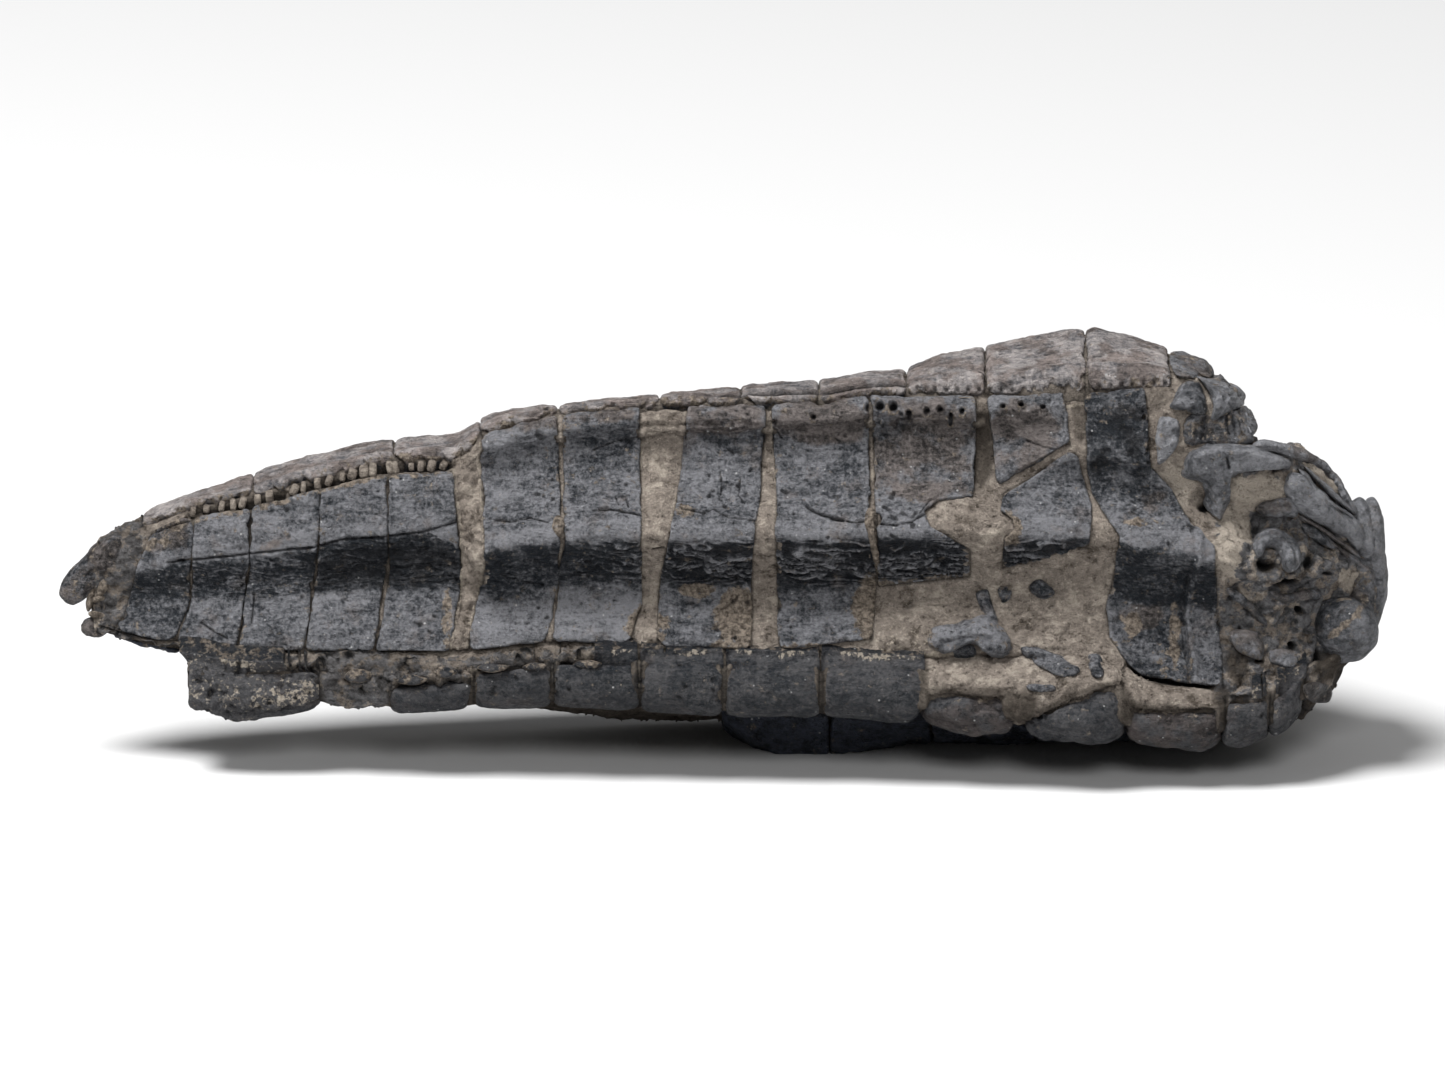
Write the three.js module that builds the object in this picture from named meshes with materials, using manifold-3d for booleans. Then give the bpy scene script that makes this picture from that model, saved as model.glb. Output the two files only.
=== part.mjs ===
// A fossil crinoid crown: the cup and five closed arms of a sea lily, lying on its side.
// Every plate (ossicle) of the arms and the cup is a solid of its own, bedded in one body of sandstone
// matrix that fills the crown and shows between the plates.
//
// The crown is drawn in working axes: x runs from the arm tips to the cup, w runs up across the front
// arm, and d stands out from the front arm's face. SEAT then rolls it to the way it lies at rest.
// All sizes are millimetres.
import * as THREE from "three";
import { mergeVertices } from "three/addons/utils/BufferGeometryUtils.js";
import Module from "manifold-3d";

const wasm = await Module();
wasm.setup();

// ---------------------------------------------------------------- driving dimensions
const PLATE_THICKNESS = 3.0;
const THIN_PLATE_SHARE = 0.38; // near the tips a plate takes this share of the way to the crown's axis
const MATRIX_BELOW_PLATES = 0.8; // how far the sandstone lies under the plates' outer faces
const BED_GAP = 0.3; // clearance between a plate and the pocket that it sits in
const POCKET_RISE = 2.0; // how far a pocket's cutter stands out past its plate
const CUP_PLATE_DEPTH = 2.4;
const ROW_CLEARANCE = 0.035; // a plate's rows are at least this share of the arm's width apart
const BULGE_COLUMNS = [0, 0.35, 0.65, 1]; // places along a bulged plate where its net has a column
const SEAT = { rollDeg: 14, x: 0.87, y: -0.69, z: 22.3 };
const FLOOR_CUTTER = 400;
const SLIVER = 0.02; // detail finer than this is dropped
const WELD = 1e-3; // points nearer than this are one point

// ---------------------------------------------------------------- the crown's lines
// Five seams divide the crown into its arms. Each row is [x, d, w].
const SEAMS = {
  topFront: [
    [-66, 1.6, 0.2], [-61.6, 2.8, 1.8], [-56.3, 3.9, 3.9], [-50, 4.8, 5.1], [-42.6, 5.8, 7.1],
    [-35.8, 6.6, 8.7], [-28.6, 7.2, 9.1], [-25.6, 7.9, 11.5], [-23.7, 8.1, 12.3], [-17.4, 8.6, 13.9],
    [-8.9, 9.2, 14.7], [3, 9.8, 15], [10, 10.1, 15.1], [15.3, 10.4, 15.9], [30, 11.2, 15.9],
    [38, 11.8, 16.3], [45, 12.2, 16.6], [52, 12.2, 15.2], [57, 11, 11], [61, 9, 9.4], [65, 6, 6],
    [68.5, 2.5, 1],
  ],
  frontLower: [
    [-66, 1.5, -9], [-61.6, 3, -10.2], [-57.1, 4, -10.9], [-50, 5.4, -11.5], [-42.6, 6.6, -11.7],
    [-28.4, 8.2, -11.8], [-17.4, 9, -11], [0, 10, -11.7], [20, 10.6, -11.9], [36, 11.4, -11.9],
    [41, 11.8, -12.8], [44.5, 12, -14.6], [52, 12, -15.5], [57, 11.4, -14.8], [61, 9.6, -13.2],
    [65, 6.5, -11], [68.5, 2.5, -6.5],
  ],
  lowerUnder: [
    [-66, 0, -9.4], [-61.6, 1, -10.8], [-57.6, 1.5, -11.6], [-56.4, -2, -15.2], [-50, -2.5, -16],
    [-28, -2, -16.2], [0, -1, -16.6], [20, 0, -18], [38, 0, -19.2], [52, 0, -19.4], [57, 0, -19.2],
    [61, 0, -17.8], [65, -0.5, -14], [68.5, -1, -7],
  ],
  underRear: [
    [-66, -2, -6], [-61.6, -4, -7.4], [-50, -7, -9.5], [-42.6, -8.8, -11], [-25.8, -12, -15],
    [-8.9, -15, -18.6], [10, -17, -18.8], [38, -17, -18.8], [48, -16, -18.8], [52, -15, -18.4],
    [57, -13, -16.4], [61, -10.5, -13.5], [65, -7, -10], [68.5, -3.5, -5],
  ],
  rearTop: [
    [-66, -1.6, 0.4], [-61.6, -3.4, 1.6], [-50, -6.2, 4], [-42.6, -7.6, 5.8], [-25.8, -10, 9],
    [-8.9, -11.6, 11.4], [10, -13, 13], [25, -14.4, 14.8], [38, -15.4, 16], [46, -15.2, 15.6],
    [52, -14.4, 13.4], [57, -12.4, 9.6], [61, -10, 7.2], [65, -6.5, 4], [68.5, -3.5, 0],
  ],
};

// The line that the plates' side walls point to. Each row is [x, d, w].
const AXIS = [[-66, 0, -4.5], [-40, -1.5, -1.5], [0, -2, -1], [40, -2.5, -1], [60, -1, -3], [69, -1, -3]];

// An arm's section across its width, from its first seam to its second: [v, h], or [v, a, h] where the
// section turns back on itself. v is the place across the arm from 0 to 1, a the place along the chord
// between the seams, and h the height over that chord, both as shares of the chord.
const SECTIONS = {
  frontTip: [
    [0, 0], [0.05, 0.035], [0.12, 0.05], [0.3, 0.075], [0.345, 0.07], [0.58, -0.035], [0.66, -0.03],
    [0.95, 0.035], [1, 0],
  ],
  frontMiddle: [
    [0, 0], [0.04, 0.055], [0.15, 0.01], [0.2, 0.005], [0.35, 0.055], [0.52, 0.13], [0.58, 0.11],
    [0.72, -0.03], [0.78, -0.035], [0.96, 0.03], [1, 0],
  ],
  frontBase: [
    [0, 0], [0.04, 0.06], [0.24, 0.05], [0.3, 0.02], [0.36, 0], [0.42, 0.03], [0.52, 0.078],
    [0.62, 0.03], [0.78, -0.04], [0.88, -0.04], [1, 0],
  ],
  lower: [
    [0, 0, 0], [0.1, -0.085, 0.14], [0.234, -0.042, 0.337], [0.335, 0.077, 0.444],
    [0.418, 0.207, 0.461], [0.607, 0.484, 0.349], [1, 1, 0],
  ],
  under: [[0, 0], [0.05, 0.05], [0.12, 0.11], [0.22, 0.2], [0.5, 0.21], [0.76, 0.08], [1, 0]],
  rear: [[0, 0], [0.05, 0.045], [0.2, 0], [0.5, 0.125], [0.8, 0], [0.95, 0.05], [1, 0]],
  top: [[0, 0], [0.06, 0.05], [0.25, 0.03], [0.48, 0.15], [0.85, 0.07], [0.97, 0.055], [1, 0]],
};

// Each arm: its two seams, its sections with the x at which each holds, and how much its relief is
// raised along x, as [x, factor]. The arms go round the crown in this order.
const ARMS = {
  front: {
    seams: ["topFront", "frontLower"],
    sections: [[-28.5, "frontTip"], [-25.5, "frontMiddle"], [27, "frontMiddle"], [38, "frontBase"]],
    relief: [[-66, 1], [70, 1]],
  },
  lower: {
    seams: ["frontLower", "lowerUnder"],
    sections: [[0, "lower"]],
    relief: [
      [-66, 0.3], [-58, 0.4], [-56.5, 1.75], [-50, 1.6], [-43, 1.1], [-36, 1.1], [-26, 0.92], [0, 1], [15, 1],
      [22, 1.15], [30, 1.3], [38, 1.3], [44, 1], [52, 0.9], [58, 0.9], [62, 0.6], [69, 0.4],
    ],
  },
  under: {
    seams: ["lowerUnder", "underRear"],
    sections: [[0, "under"]],
    relief: [
      [-66, 0.5], [-10, 0.4], [-1, 0.4], [3, 1.25], [6.5, 1.6], [10, 1.5], [16, 1], [20, 0.72], [30, 0.62],
      [38, 0.4], [48, 0.5], [54, 0.6], [60, 0.6], [69, 0.5],
    ],
  },
  rear: {
    seams: ["underRear", "rearTop"],
    sections: [[0, "rear"]],
    relief: [[-66, 1], [50, 1], [69, 0.6]],
  },
  top: {
    seams: ["rearTop", "topFront"],
    sections: [[0, "top"]],
    relief: [
      [-66, 1.6], [-61.6, 1.9], [-56, 1.5], [-50, 1.85], [-42.6, 1.6], [-35.8, 1.37], [-25.8, 1.15],
      [-17, 0.85], [-8.9, 0.8], [5, 0.98], [19, 0.95], [23, 1.33], [27, 1.44], [33, 1.6], [39, 1.64],
      [45, 1.25], [52, 0.9], [69, 0.6],
    ],
  },
};

// ---------------------------------------------------------------- the arm plates
// left and right are a plate's two cross edges, as [v, x] down the arm's width, and across is the range
// of v at its left edge, then at its right edge. Plates are numbered from the cup to the tip.
const straight = (x) => [[0, x], [1, x]];
const span = (left, right, from = 0.03) => ({
  left: straight(left),
  right: straight(right),
  across: [[from, 0.97], [from, 0.97]],
});

const FRONT_PLATES = {
  front_arm_plate_01: {
    left: [[0.02, 37.8], [0.31, 38.4], [0.41, 39.5], [0.54, 41.3], [0.65, 40.2], [0.8, 40.3], [0.98, 43.2]],
    right: [[0.02, 44], [0.29, 45.3], [0.4, 46.8], [0.5, 51.4], [0.72, 51.4], [0.98, 52.3]],
    across: [[0.02, 0.97], [0.02, 0.97]],
  },
  front_arm_plate_02_upper: {
    left: [[0.03, 27.7], [0.35, 28.8]],
    right: [[0.03, 35.6], [0.2, 36.1]],
    across: [[0.03, 0.335], [0.03, 0.195]],
  },
  front_arm_plate_02_lower: {
    left: [[0.36, 29.5], [0.5, 29.8], [0.66, 29.2]],
    right: [[0.22, 36.6], [0.37, 38], [0.42, 38.4], [0.59, 38]],
    across: [[0.37, 0.66], [0.23, 0.59]],
  },
  front_arm_plate_03: {
    left: [[0.02, 15.5], [0.4, 15.9], [0.7, 16.2]],
    right: [[0.02, 26.3], [0.4, 26], [0.46, 25.4], [0.67, 25.6]],
    across: [[0.02, 0.7], [0.02, 0.67]],
  },
  front_arm_plate_04: {
    left: [[0.02, 5], [0.35, 5.6], [0.5, 5.4], [0.97, 5.8]],
    right: [[0.02, 14.9], [0.4, 15.2], [0.47, 14.9], [0.7, 15.8], [0.97, 15.3]],
    across: [[0.02, 0.97], [0.02, 0.93]],
  },
  front_arm_plate_05: {
    left: [[0.03, -3.9], [0.28, -4.5], [0.5, -5.6], [0.75, -6.9], [0.97, -7]],
    right: [[0.03, 4.2], [0.3, 3.7], [0.6, 2.8], [0.97, 2.6]],
    across: [[0.03, 0.97], [0.03, 0.97]],
  },
  front_arm_plate_06: {
    left: [[0.03, -16.9], [0.55, -16.8], [0.7, -17.3], [0.97, -18.1]],
    right: [[0.02, -9.1], [0.6, -8.9], [0.8, -8.9], [0.97, -10.3]],
    across: [[0.03, 0.97], [0.02, 0.97]],
  },
  front_arm_plate_07: {
    left: [[0.03, -25.6], [0.6, -25.1], [0.86, -26.6], [0.97, -27]],
    right: [[0.03, -17.8], [0.38, -17.4], [0.72, -17.7], [0.97, -19]],
    across: [[0.03, 0.97], [0.03, 0.97]],
  },
  front_arm_plate_08: {
    left: [[0.02, -35.4], [0.55, -35.2], [0.8, -35.9], [0.98, -36.8]],
    right: [[0.02, -29], [0.5, -28.1], [0.7, -28.1], [0.98, -29.2]],
    across: [[0.03, 0.97], [0.03, 0.97]],
  },
  front_arm_plate_09: {
    left: [[0.02, -42.4], [0.55, -42.9], [0.98, -44.2]],
    right: [[0.02, -35.8], [0.5, -35.6], [0.98, -37.2]],
    across: [[0.03, 0.97], [0.03, 0.97]],
  },
  front_arm_plate_10: {
    left: [[0.02, -49.8], [0.4, -49.9], [0.98, -51.2]],
    right: [[0.02, -42.8], [0.4, -43], [0.98, -44.6]],
    across: [[0.03, 0.97], [0.03, 0.97]],
  },
  front_arm_plate_11: {
    left: [[0.02, -55.8], [0.65, -56.2], [0.98, -57.8]],
    right: [[0.02, -50.2], [0.4, -50.3], [0.98, -51.6]],
    across: [[0.03, 0.97], [0.03, 0.97]],
  },
  front_arm_plate_12: {
    left: [[0.05, -60.4], [0.3, -61.8], [0.75, -63.2], [0.95, -64.6]],
    right: [[0.02, -56.2], [0.65, -56.6], [0.95, -58.2]],
    across: [[0.05, 0.96], [0.04, 0.96]],
  },
};

const TOP_PLATES = {
  top_arm_plate_01: span(38.2, 46.8),
  top_arm_plate_02: span(27.6, 37.8),
  top_arm_plate_03: span(19.2, 27.2),
  top_arm_plate_04: span(10.1, 18.8),
  top_arm_plate_05: span(1.8, 9.7),
  top_arm_plate_06: span(-6.8, 1.4),
  top_arm_plate_07: span(-17.4, -7.2),
  top_arm_plate_08: span(-25.8, -17.8),
  top_arm_plate_09: span(-34.8, -26.2),
  top_arm_plate_10: span(-49.7, -35.2),
  top_arm_plate_11: span(-61.6, -50.1),
};

const LEDGE = 0.1; // the lower arm's plates start under a ledge of sandstone
const LOWER_PLATES = {
  lower_arm_plate_01: span(57.7, 61, LEDGE),
  lower_arm_plate_02: span(52.5, 57.3, LEDGE),
  lower_arm_plate_03: span(42.2, 52.1, LEDGE),
  lower_arm_plate_04: span(31.7, 41.8, LEDGE),
  lower_arm_plate_05: span(20.7, 29.9, LEDGE),
  lower_arm_plate_06: {
    left: straight(10.3),
    right: [[0, 20.6], [0.42, 19.6], [1, 19.6]],
    across: [[LEDGE, 0.97], [LEDGE, 0.97]],
  },
  lower_arm_plate_07: span(0.1, 9.9, LEDGE),
  lower_arm_plate_08: span(-8.8, -0.3, LEDGE),
  lower_arm_plate_09: span(-18, -9.2, LEDGE),
  lower_arm_plate_10: span(-26.4, -18.4, LEDGE),
  lower_arm_plate_11: span(-35.2, -26.9, LEDGE),
  lower_arm_plate_12: span(-55.9, -42.8, 0.18),
};

const UNDER_PLATES = {
  under_arm_plate_01: span(43.4, 51.8),
  under_arm_plate_02: span(33, 43),
  under_arm_plate_03: span(22, 32.6),
  under_arm_plate_04: span(11.3, 21.6),
  under_arm_plate_05: { ...span(-0.3, 10.9), bulged: true },
  under_arm_plate_tip: span(-64.4, -57.8),
};

const REAR_PLATES = {
  rear_arm_plate_01: span(36.6, 47),
  rear_arm_plate_02: span(25.4, 36.2),
  rear_arm_plate_03: span(14.6, 25),
  rear_arm_plate_04: span(3.2, 14.2),
  rear_arm_plate_05: span(-9.6, 2.8),
  rear_arm_plate_06: span(-27, -10),
  rear_arm_plate_07: span(-60.6, -27.4),
};

const ARM_PLATES = {
  front: FRONT_PLATES,
  top: TOP_PLATES,
  lower: LOWER_PLATES,
  under: UNDER_PLATES,
  rear: REAR_PLATES,
};

// ---------------------------------------------------------------- the cup plates
// A cup plate is a cobble: at is its middle and faces its outward direction, both [x, d, w]. size is its
// half length, half width and rise, turnDeg turns its length about that direction (0 is along x), and
// outline holds its radius at equal steps round it, as shares of the half sizes.
const CUP_PLATES = {
  cup_star_plate: {
    at: [52.6, 12.4, 7.9], faces: [0.12, 0.95, 0.3], size: [6.6, 4.4, 1.6], turnDeg: 0,
    outline: [1, 0.8, 0.66, 0.64, 0.66, 0.72, 0.69, 0.62, 0.85, 1.12, 0.36, 0.42],
  },
  cup_inner_knob: {
    at: [57.6, 11.4, -0.6], faces: [0.25, 0.95, 0.05], size: [2.6, 2.4, 2], turnDeg: 0,
    outline: [1, 0.95, 1, 1, 0.95, 1, 1, 0.95],
  },
  cup_wrinkled_basal: {
    at: [62.6, 7.6, 2.8], faces: [0.6, 0.76, 0.25], size: [6.4, 3.4, 2], turnDeg: -52,
    outline: [1, 0.95, 0.9, 0.95, 1, 1, 0.9, 0.9, 0.95, 1],
  },
  cup_upper_basal: {
    at: [60.9, 2.6, 7.2], faces: [0.6, 0.1, 0.78], size: [6.8, 6, 2], turnDeg: -20,
    outline: [1, 0.9, 0.95, 1, 1, 0.9, 0.9, 1, 1, 0.95],
  },
  cup_lower_lobe: {
    at: [64.8, 5.2, -7.8], faces: [0.72, 0.66, -0.2], size: [4.8, 4.4, 2.6], turnDeg: 40,
    outline: [1, 1, 0.95, 0.9, 1, 1.05, 1, 0.9, 1, 1],
  },
  cup_end_plate: {
    at: [66.8, -3, -4], faces: [0.98, -0.1, 0.02], size: [5, 9, 2.4], turnDeg: 0,
    outline: [1, 0.9, 0.95, 1, 0.9, 1, 0.95, 0.9, 1, 0.95],
  },
  cup_lower_plate: {
    at: [61.6, 1.5, -14.4], faces: [0.6, 0.2, -0.75], size: [5, 3.6, 1.4], turnDeg: 0,
    outline: [1, 0.9, 1, 0.9, 1, 0.9, 1, 0.9, 1, 0.9],
  },
  cup_upper_knob: {
    at: [52.8, 6.6, 14.8], faces: [0.35, 0.45, 0.8], size: [2.8, 3, 2], turnDeg: -20,
    outline: [1.1, 0.95, 0.9, 1, 0.9, 0.85, 0.9, 1, 1.05, 0.95],
  },
  cup_shoulder_knob: {
    at: [48.9, 1, 18.4], faces: [0.25, 0.05, 0.95], size: [2.6, 4, 1.8], turnDeg: 0,
    outline: [1, 0.9, 1, 0.85, 1, 0.95, 0.85, 1, 0.95, 1],
  },
  cup_rear_basal: {
    at: [58.6, -10.4, 0], faces: [0.55, -0.85, 0.05], size: [7, 9, 2.4], turnDeg: 10,
    outline: [1, 0.9, 1, 0.95, 1, 0.9, 0.95, 1, 0.9, 1],
  },
};

// A cup plate's rings from its crest to its foot: [share of the outline, share of the rise].
const COBBLE_RINGS = [[0.42, 0.92], [0.78, 0.62], [1, 0], [0.8, -1]];

// Where the sandstone body has rings, where it ends, and how many points each arm has in a ring.
const MATRIX_STATIONS = [
  -66, -63, -58.2, -56.2, -46, -35, -26, -16, -3, 5, 12, 22, 33, 41, 48, 54, 60, 64.5, 67.5,
];
const MATRIX_ENDS = [-66.6, 69.2];
const MATRIX_STEPS = { front: 6, lower: 3, under: 3, rear: 4, top: 4 };

// The blunt stub at the very tip, and the small one under it: stretched balls of sandstone that belong
// to the matrix. at is [x, d, w], size the half sizes along x, d and w, tiltDeg the turn in the x-w plane.
const TIP_STUBS = [
  { at: [-66.9, 0.3, -3.6], size: [5, 3, 2.1], tiltDeg: 36 },
  { at: [-66.2, 0.2, -8.5], size: [1.9, 1.7, 1.4], tiltDeg: 0 },
];

// The plates are dark calcite that differs a little from arm to arm: [colour, roughness].
const STONES = {
  front: [0x67666b, 0.7],
  top: [0x7d7675, 0.78],
  lower: [0x454448, 0.75],
  under: [0x1f2330, 0.8],
  rear: [0x5d5b60, 0.78],
  cup: [0x55565b, 0.68],
  matrix: [0x7c7267, 0.93],
};

// ---------------------------------------------------------------- interpolation
// A smooth line through rows of [t, value, ...] that never overshoots them, at t.
function through(rows, t) {
  const last = rows.length - 1;
  if (t <= rows[0][0]) return rows[0].slice(1);
  if (t >= rows[last][0]) return rows[last].slice(1);
  let i = 0;
  while (rows[i + 1][0] < t) i += 1;
  const step = (k) => rows[k + 1][0] - rows[k][0];
  const rise = (k, c) => (rows[k + 1][c] - rows[k][c]) / step(k);
  const slope = (k, c) => {
    if (k === 0) return rise(0, c);
    if (k === last) return rise(last - 1, c);
    const before = rise(k - 1, c);
    const after = rise(k, c);
    return before * after <= 0 ? 0 : (2 * before * after) / (before + after);
  };
  const h = step(i);
  const u = (t - rows[i][0]) / h;
  return rows[i].slice(1).map((_, n) => {
    const c = n + 1;
    return (
      (2 * u ** 3 - 3 * u ** 2 + 1) * rows[i][c] + (u ** 3 - 2 * u ** 2 + u) * h * slope(i, c) +
      (-2 * u ** 3 + 3 * u ** 2) * rows[i + 1][c] + (u ** 3 - u ** 2) * h * slope(i + 1, c)
    );
  });
}

// The value at t of straight lines through rows of [t, value].
function along(rows, t) {
  if (t <= rows[0][0]) return rows[0][1];
  const i = rows.findIndex((row) => row[0] >= t);
  if (i < 0) return rows[rows.length - 1][1];
  const [t0, a] = rows[i - 1];
  const [t1, b] = rows[i];
  return a + ((b - a) * (t - t0)) / (t1 - t0);
}

// ---------------------------------------------------------------- the crown's surface
const asKnot = (row) => (row.length === 3 ? row : [row[0], row[0], row[1]]);

// The arm's section at x, at v: [place along the chord, height over it], as shares of the chord.
function sectionAt(arm, x, v) {
  const { sections } = ARMS[arm];
  const next = sections.findIndex(([at]) => at >= x);
  const at = (entry) => through(SECTIONS[entry[1]].map(asKnot), v);
  if (next === 0 || sections.length === 1) return at(sections[0]);
  if (next < 0) return at(sections[sections.length - 1]);
  const [before, after] = [sections[next - 1], sections[next]];
  const share = (x - before[0]) / (after[0] - before[0]);
  const [a, b] = [at(before), at(after)];
  return [a[0] + (b[0] - a[0]) * share, a[1] + (b[1] - a[1]) * share];
}

// The crown's outer face on an arm, as [d, w].
function armFace(arm, x, v) {
  const { seams, relief } = ARMS[arm];
  const [d0, w0] = through(SEAMS[seams[0]], x);
  const [d1, w1] = through(SEAMS[seams[1]], x);
  const [a, h] = sectionAt(arm, x, v);
  const raised = h * along(relief, x);
  const [cd, cw] = [d1 - d0, w1 - w0];
  return [d0 + cd * a - cw * raised, w0 + cw * a + cd * raised];
}

// A point of the arm's face moved towards the crown's axis by depth, which is kept to a share of the
// way there, and then by beyond (out from the axis if it is negative).
function sunk(arm, x, v, depth, beyond = 0) {
  const [d, w] = armFace(arm, x, v);
  const [ad, aw] = through(AXIS, x);
  const reach = Math.hypot(d - ad, w - aw);
  const share = (Math.min(depth, reach * THIN_PLATE_SHARE) + beyond) / reach;
  return [d + (ad - d) * share, w + (aw - w) * share];
}

// Working axes to the part's own frame: the crown rolls about x and is set down on z = 0.
const ROLL = (SEAT.rollDeg * Math.PI) / 180;
const seated = (x, d, w) => [
  x + SEAT.x,
  w * Math.sin(ROLL) - d * Math.cos(ROLL) + SEAT.y,
  w * Math.cos(ROLL) + d * Math.sin(ROLL) + SEAT.z,
];

// ---------------------------------------------------------------- solids
// A solid with its faces turned outward, from points and triangles of point numbers.
function solidFrom(points, triangles) {
  const geometry = new THREE.BufferGeometry();
  geometry.setAttribute("position", new THREE.BufferAttribute(new Float32Array(points.flat()), 3));
  geometry.setIndex(triangles.flat());
  const solid = solidOf(geometry);
  if (solid.volume() > 0) return solid;
  geometry.setIndex(triangles.flatMap(([a, b, c]) => [a, c, b]));
  return solidOf(geometry);
}

function solidOf(geometry) {
  const bare = geometry.clone();
  bare.deleteAttribute("normal");
  bare.deleteAttribute("uv");
  const merged = mergeVertices(bare, WELD);
  const vertProperties = merged.attributes.position.array;
  const triVerts = new Uint32Array(merged.index.array);
  return new wasm.Manifold(new wasm.Mesh({ numProp: 3, vertProperties, triVerts }));
}

function geometryOf(solid) {
  const { vertProperties, triVerts } = solid.getMesh();
  const geometry = new THREE.BufferGeometry();
  geometry.setAttribute("position", new THREE.BufferAttribute(new Float32Array(vertProperties), 3));
  geometry.setIndex(new THREE.BufferAttribute(new Uint32Array(triVerts), 1));
  geometry.computeVertexNormals();
  return geometry;
}

// A closed solid between an outer and an inner net of points of the same size, net[row][column].
function netSolid(outer, inner) {
  const rows = outer.length;
  const columns = outer[0].length;
  const out = (i, j) => i * columns + j;
  const inn = (i, j) => rows * columns + i * columns + j;
  const triangles = [];
  const quad = (a, b, c, d) => triangles.push([a, b, c], [a, c, d]);
  for (let i = 0; i + 1 < rows; i += 1) {
    for (let j = 0; j + 1 < columns; j += 1) {
      quad(out(i, j), out(i + 1, j), out(i + 1, j + 1), out(i, j + 1));
      quad(inn(i, j), inn(i, j + 1), inn(i + 1, j + 1), inn(i + 1, j));
    }
    quad(out(i, 0), inn(i, 0), inn(i + 1, 0), out(i + 1, 0));
    quad(out(i, columns - 1), out(i + 1, columns - 1), inn(i + 1, columns - 1), inn(i, columns - 1));
  }
  for (let j = 0; j + 1 < columns; j += 1) {
    quad(out(0, j), out(0, j + 1), inn(0, j + 1), inn(0, j));
    quad(out(rows - 1, j), inn(rows - 1, j), inn(rows - 1, j + 1), out(rows - 1, j + 1));
  }
  return solidFrom([...outer.flat(), ...inner.flat()], triangles);
}

// A closed solid of rings of points, with the same number of points in each, between two end points.
function ringSolid(start, rings, end) {
  const steps = rings[0].length;
  const endPoint = 1 + rings.length * steps;
  const at = (ring, k) => 1 + ring * steps + (k % steps);
  const triangles = [];
  for (let k = 0; k < steps; k += 1) {
    triangles.push([0, at(0, k), at(0, k + 1)]);
    for (let ring = 0; ring + 1 < rings.length; ring += 1) {
      triangles.push([at(ring, k), at(ring + 1, k), at(ring + 1, k + 1)]);
      triangles.push([at(ring, k), at(ring + 1, k + 1), at(ring, k + 1)]);
    }
    triangles.push([endPoint, at(rings.length - 1, k + 1), at(rings.length - 1, k)]);
  }
  return solidFrom([start, ...rings.flat(), end], triangles);
}

// Cuts leave crumbs and slivers. A piece is its largest body, with the slivers closed up.
const largest = (solid) => solid.decompose().reduce((a, b) => (b.volume() > a.volume() ? b : a));
const welded = (solid) => largest(solidOf(geometryOf(solid)));
const tidied = (solid) => welded(welded(largest(solid).simplify(SLIVER)));

// ---------------------------------------------------------------- the pieces
// The places across a plate, as shares of its width, where its net has a row: its two ends, and the
// section's knots between them.
function rowsAcross(arm, from, to, x) {
  const { sections } = ARMS[arm];
  const near = sections.reduce((a, b) => (Math.abs(b[0] - x) < Math.abs(a[0] - x) ? b : a));
  const knots = SECTIONS[near[1]].map((row) => row[0]);
  const inside = knots.filter((v) => v > from + ROW_CLEARANCE && v < to - ROW_CLEARANCE);
  return [from, ...inside, to].map((v) => (v - from) / (to - from));
}

// An arm plate, or with grown > 0 the cutter for its pocket.
function armPlate(arm, plate, grown = 0) {
  const middle = (plate.left[0][1] + plate.right[0][1]) / 2;
  const [first, second] = [armFace(arm, middle, 0), armFace(arm, middle, 1)];
  const wider = grown / Math.hypot(second[0] - first[0], second[1] - first[1]);
  const [[l0, l1], [r0, r1]] = plate.across;
  const shares = rowsAcross(arm, l0, l1, middle);
  const rows = shares.map((share) => [l0 + (l1 - l0) * share, r0 + (r1 - r0) * share]);
  if (grown > 0) {
    rows.unshift([l0 - wider, r0 - wider]);
    rows.push([l1 + wider, r1 + wider]);
  }
  const columns = plate.bulged ? BULGE_COLUMNS : [0, 1];
  const net = (depth, beyond) =>
    rows.map(([vl, vr]) => {
      const [xl, xr] = [along(plate.left, vl), along(plate.right, vr)];
      return columns.map((share) => {
        const [x, v] = [xl + (xr - xl) * share, vl + (vr - vl) * share];
        return seated(x + (2 * share - 1) * grown, ...sunk(arm, x, v, depth, beyond));
      });
    });
  return netSolid(net(0, grown > 0 ? -POCKET_RISE : 0), net(PLATE_THICKNESS, grown));
}

// A cup plate, or with grown > 0 the cutter for its pocket.
function cupPlate({ at, faces, size, turnDeg, outline }, grown = 0) {
  const middle = new THREE.Vector3(...seated(...at));
  const turned = (v) => new THREE.Vector3(...seated(...v)).sub(new THREE.Vector3(...seated(0, 0, 0)));
  const out = turned(faces).normalize();
  const lengthwise = new THREE.Vector3(1, 0, 0).projectOnPlane(out);
  if (lengthwise.length() < 0.5) lengthwise.copy(turned([0, -1, 0])).projectOnPlane(out);
  lengthwise.normalize().applyAxisAngle(out, (turnDeg * Math.PI) / 180);
  const sideways = out.clone().cross(lengthwise);
  const place = (k, reach, height) => {
    const turn = (2 * Math.PI * k) / outline.length;
    return middle
      .clone()
      .addScaledVector(lengthwise, Math.cos(turn) * (size[0] + grown) * outline[k] * reach)
      .addScaledVector(sideways, Math.sin(turn) * (size[1] + grown) * outline[k] * reach)
      .addScaledVector(out, height)
      .toArray();
  };
  const rise = size[2] + grown;
  const foot = CUP_PLATE_DEPTH + grown;
  const rings = COBBLE_RINGS.map(([reach, share]) =>
    outline.map((_, k) => place(k, reach, share < 0 ? -foot : share * rise)),
  );
  return ringSolid(place(0, 0, rise), rings, place(0, 0, -foot));
}

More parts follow.
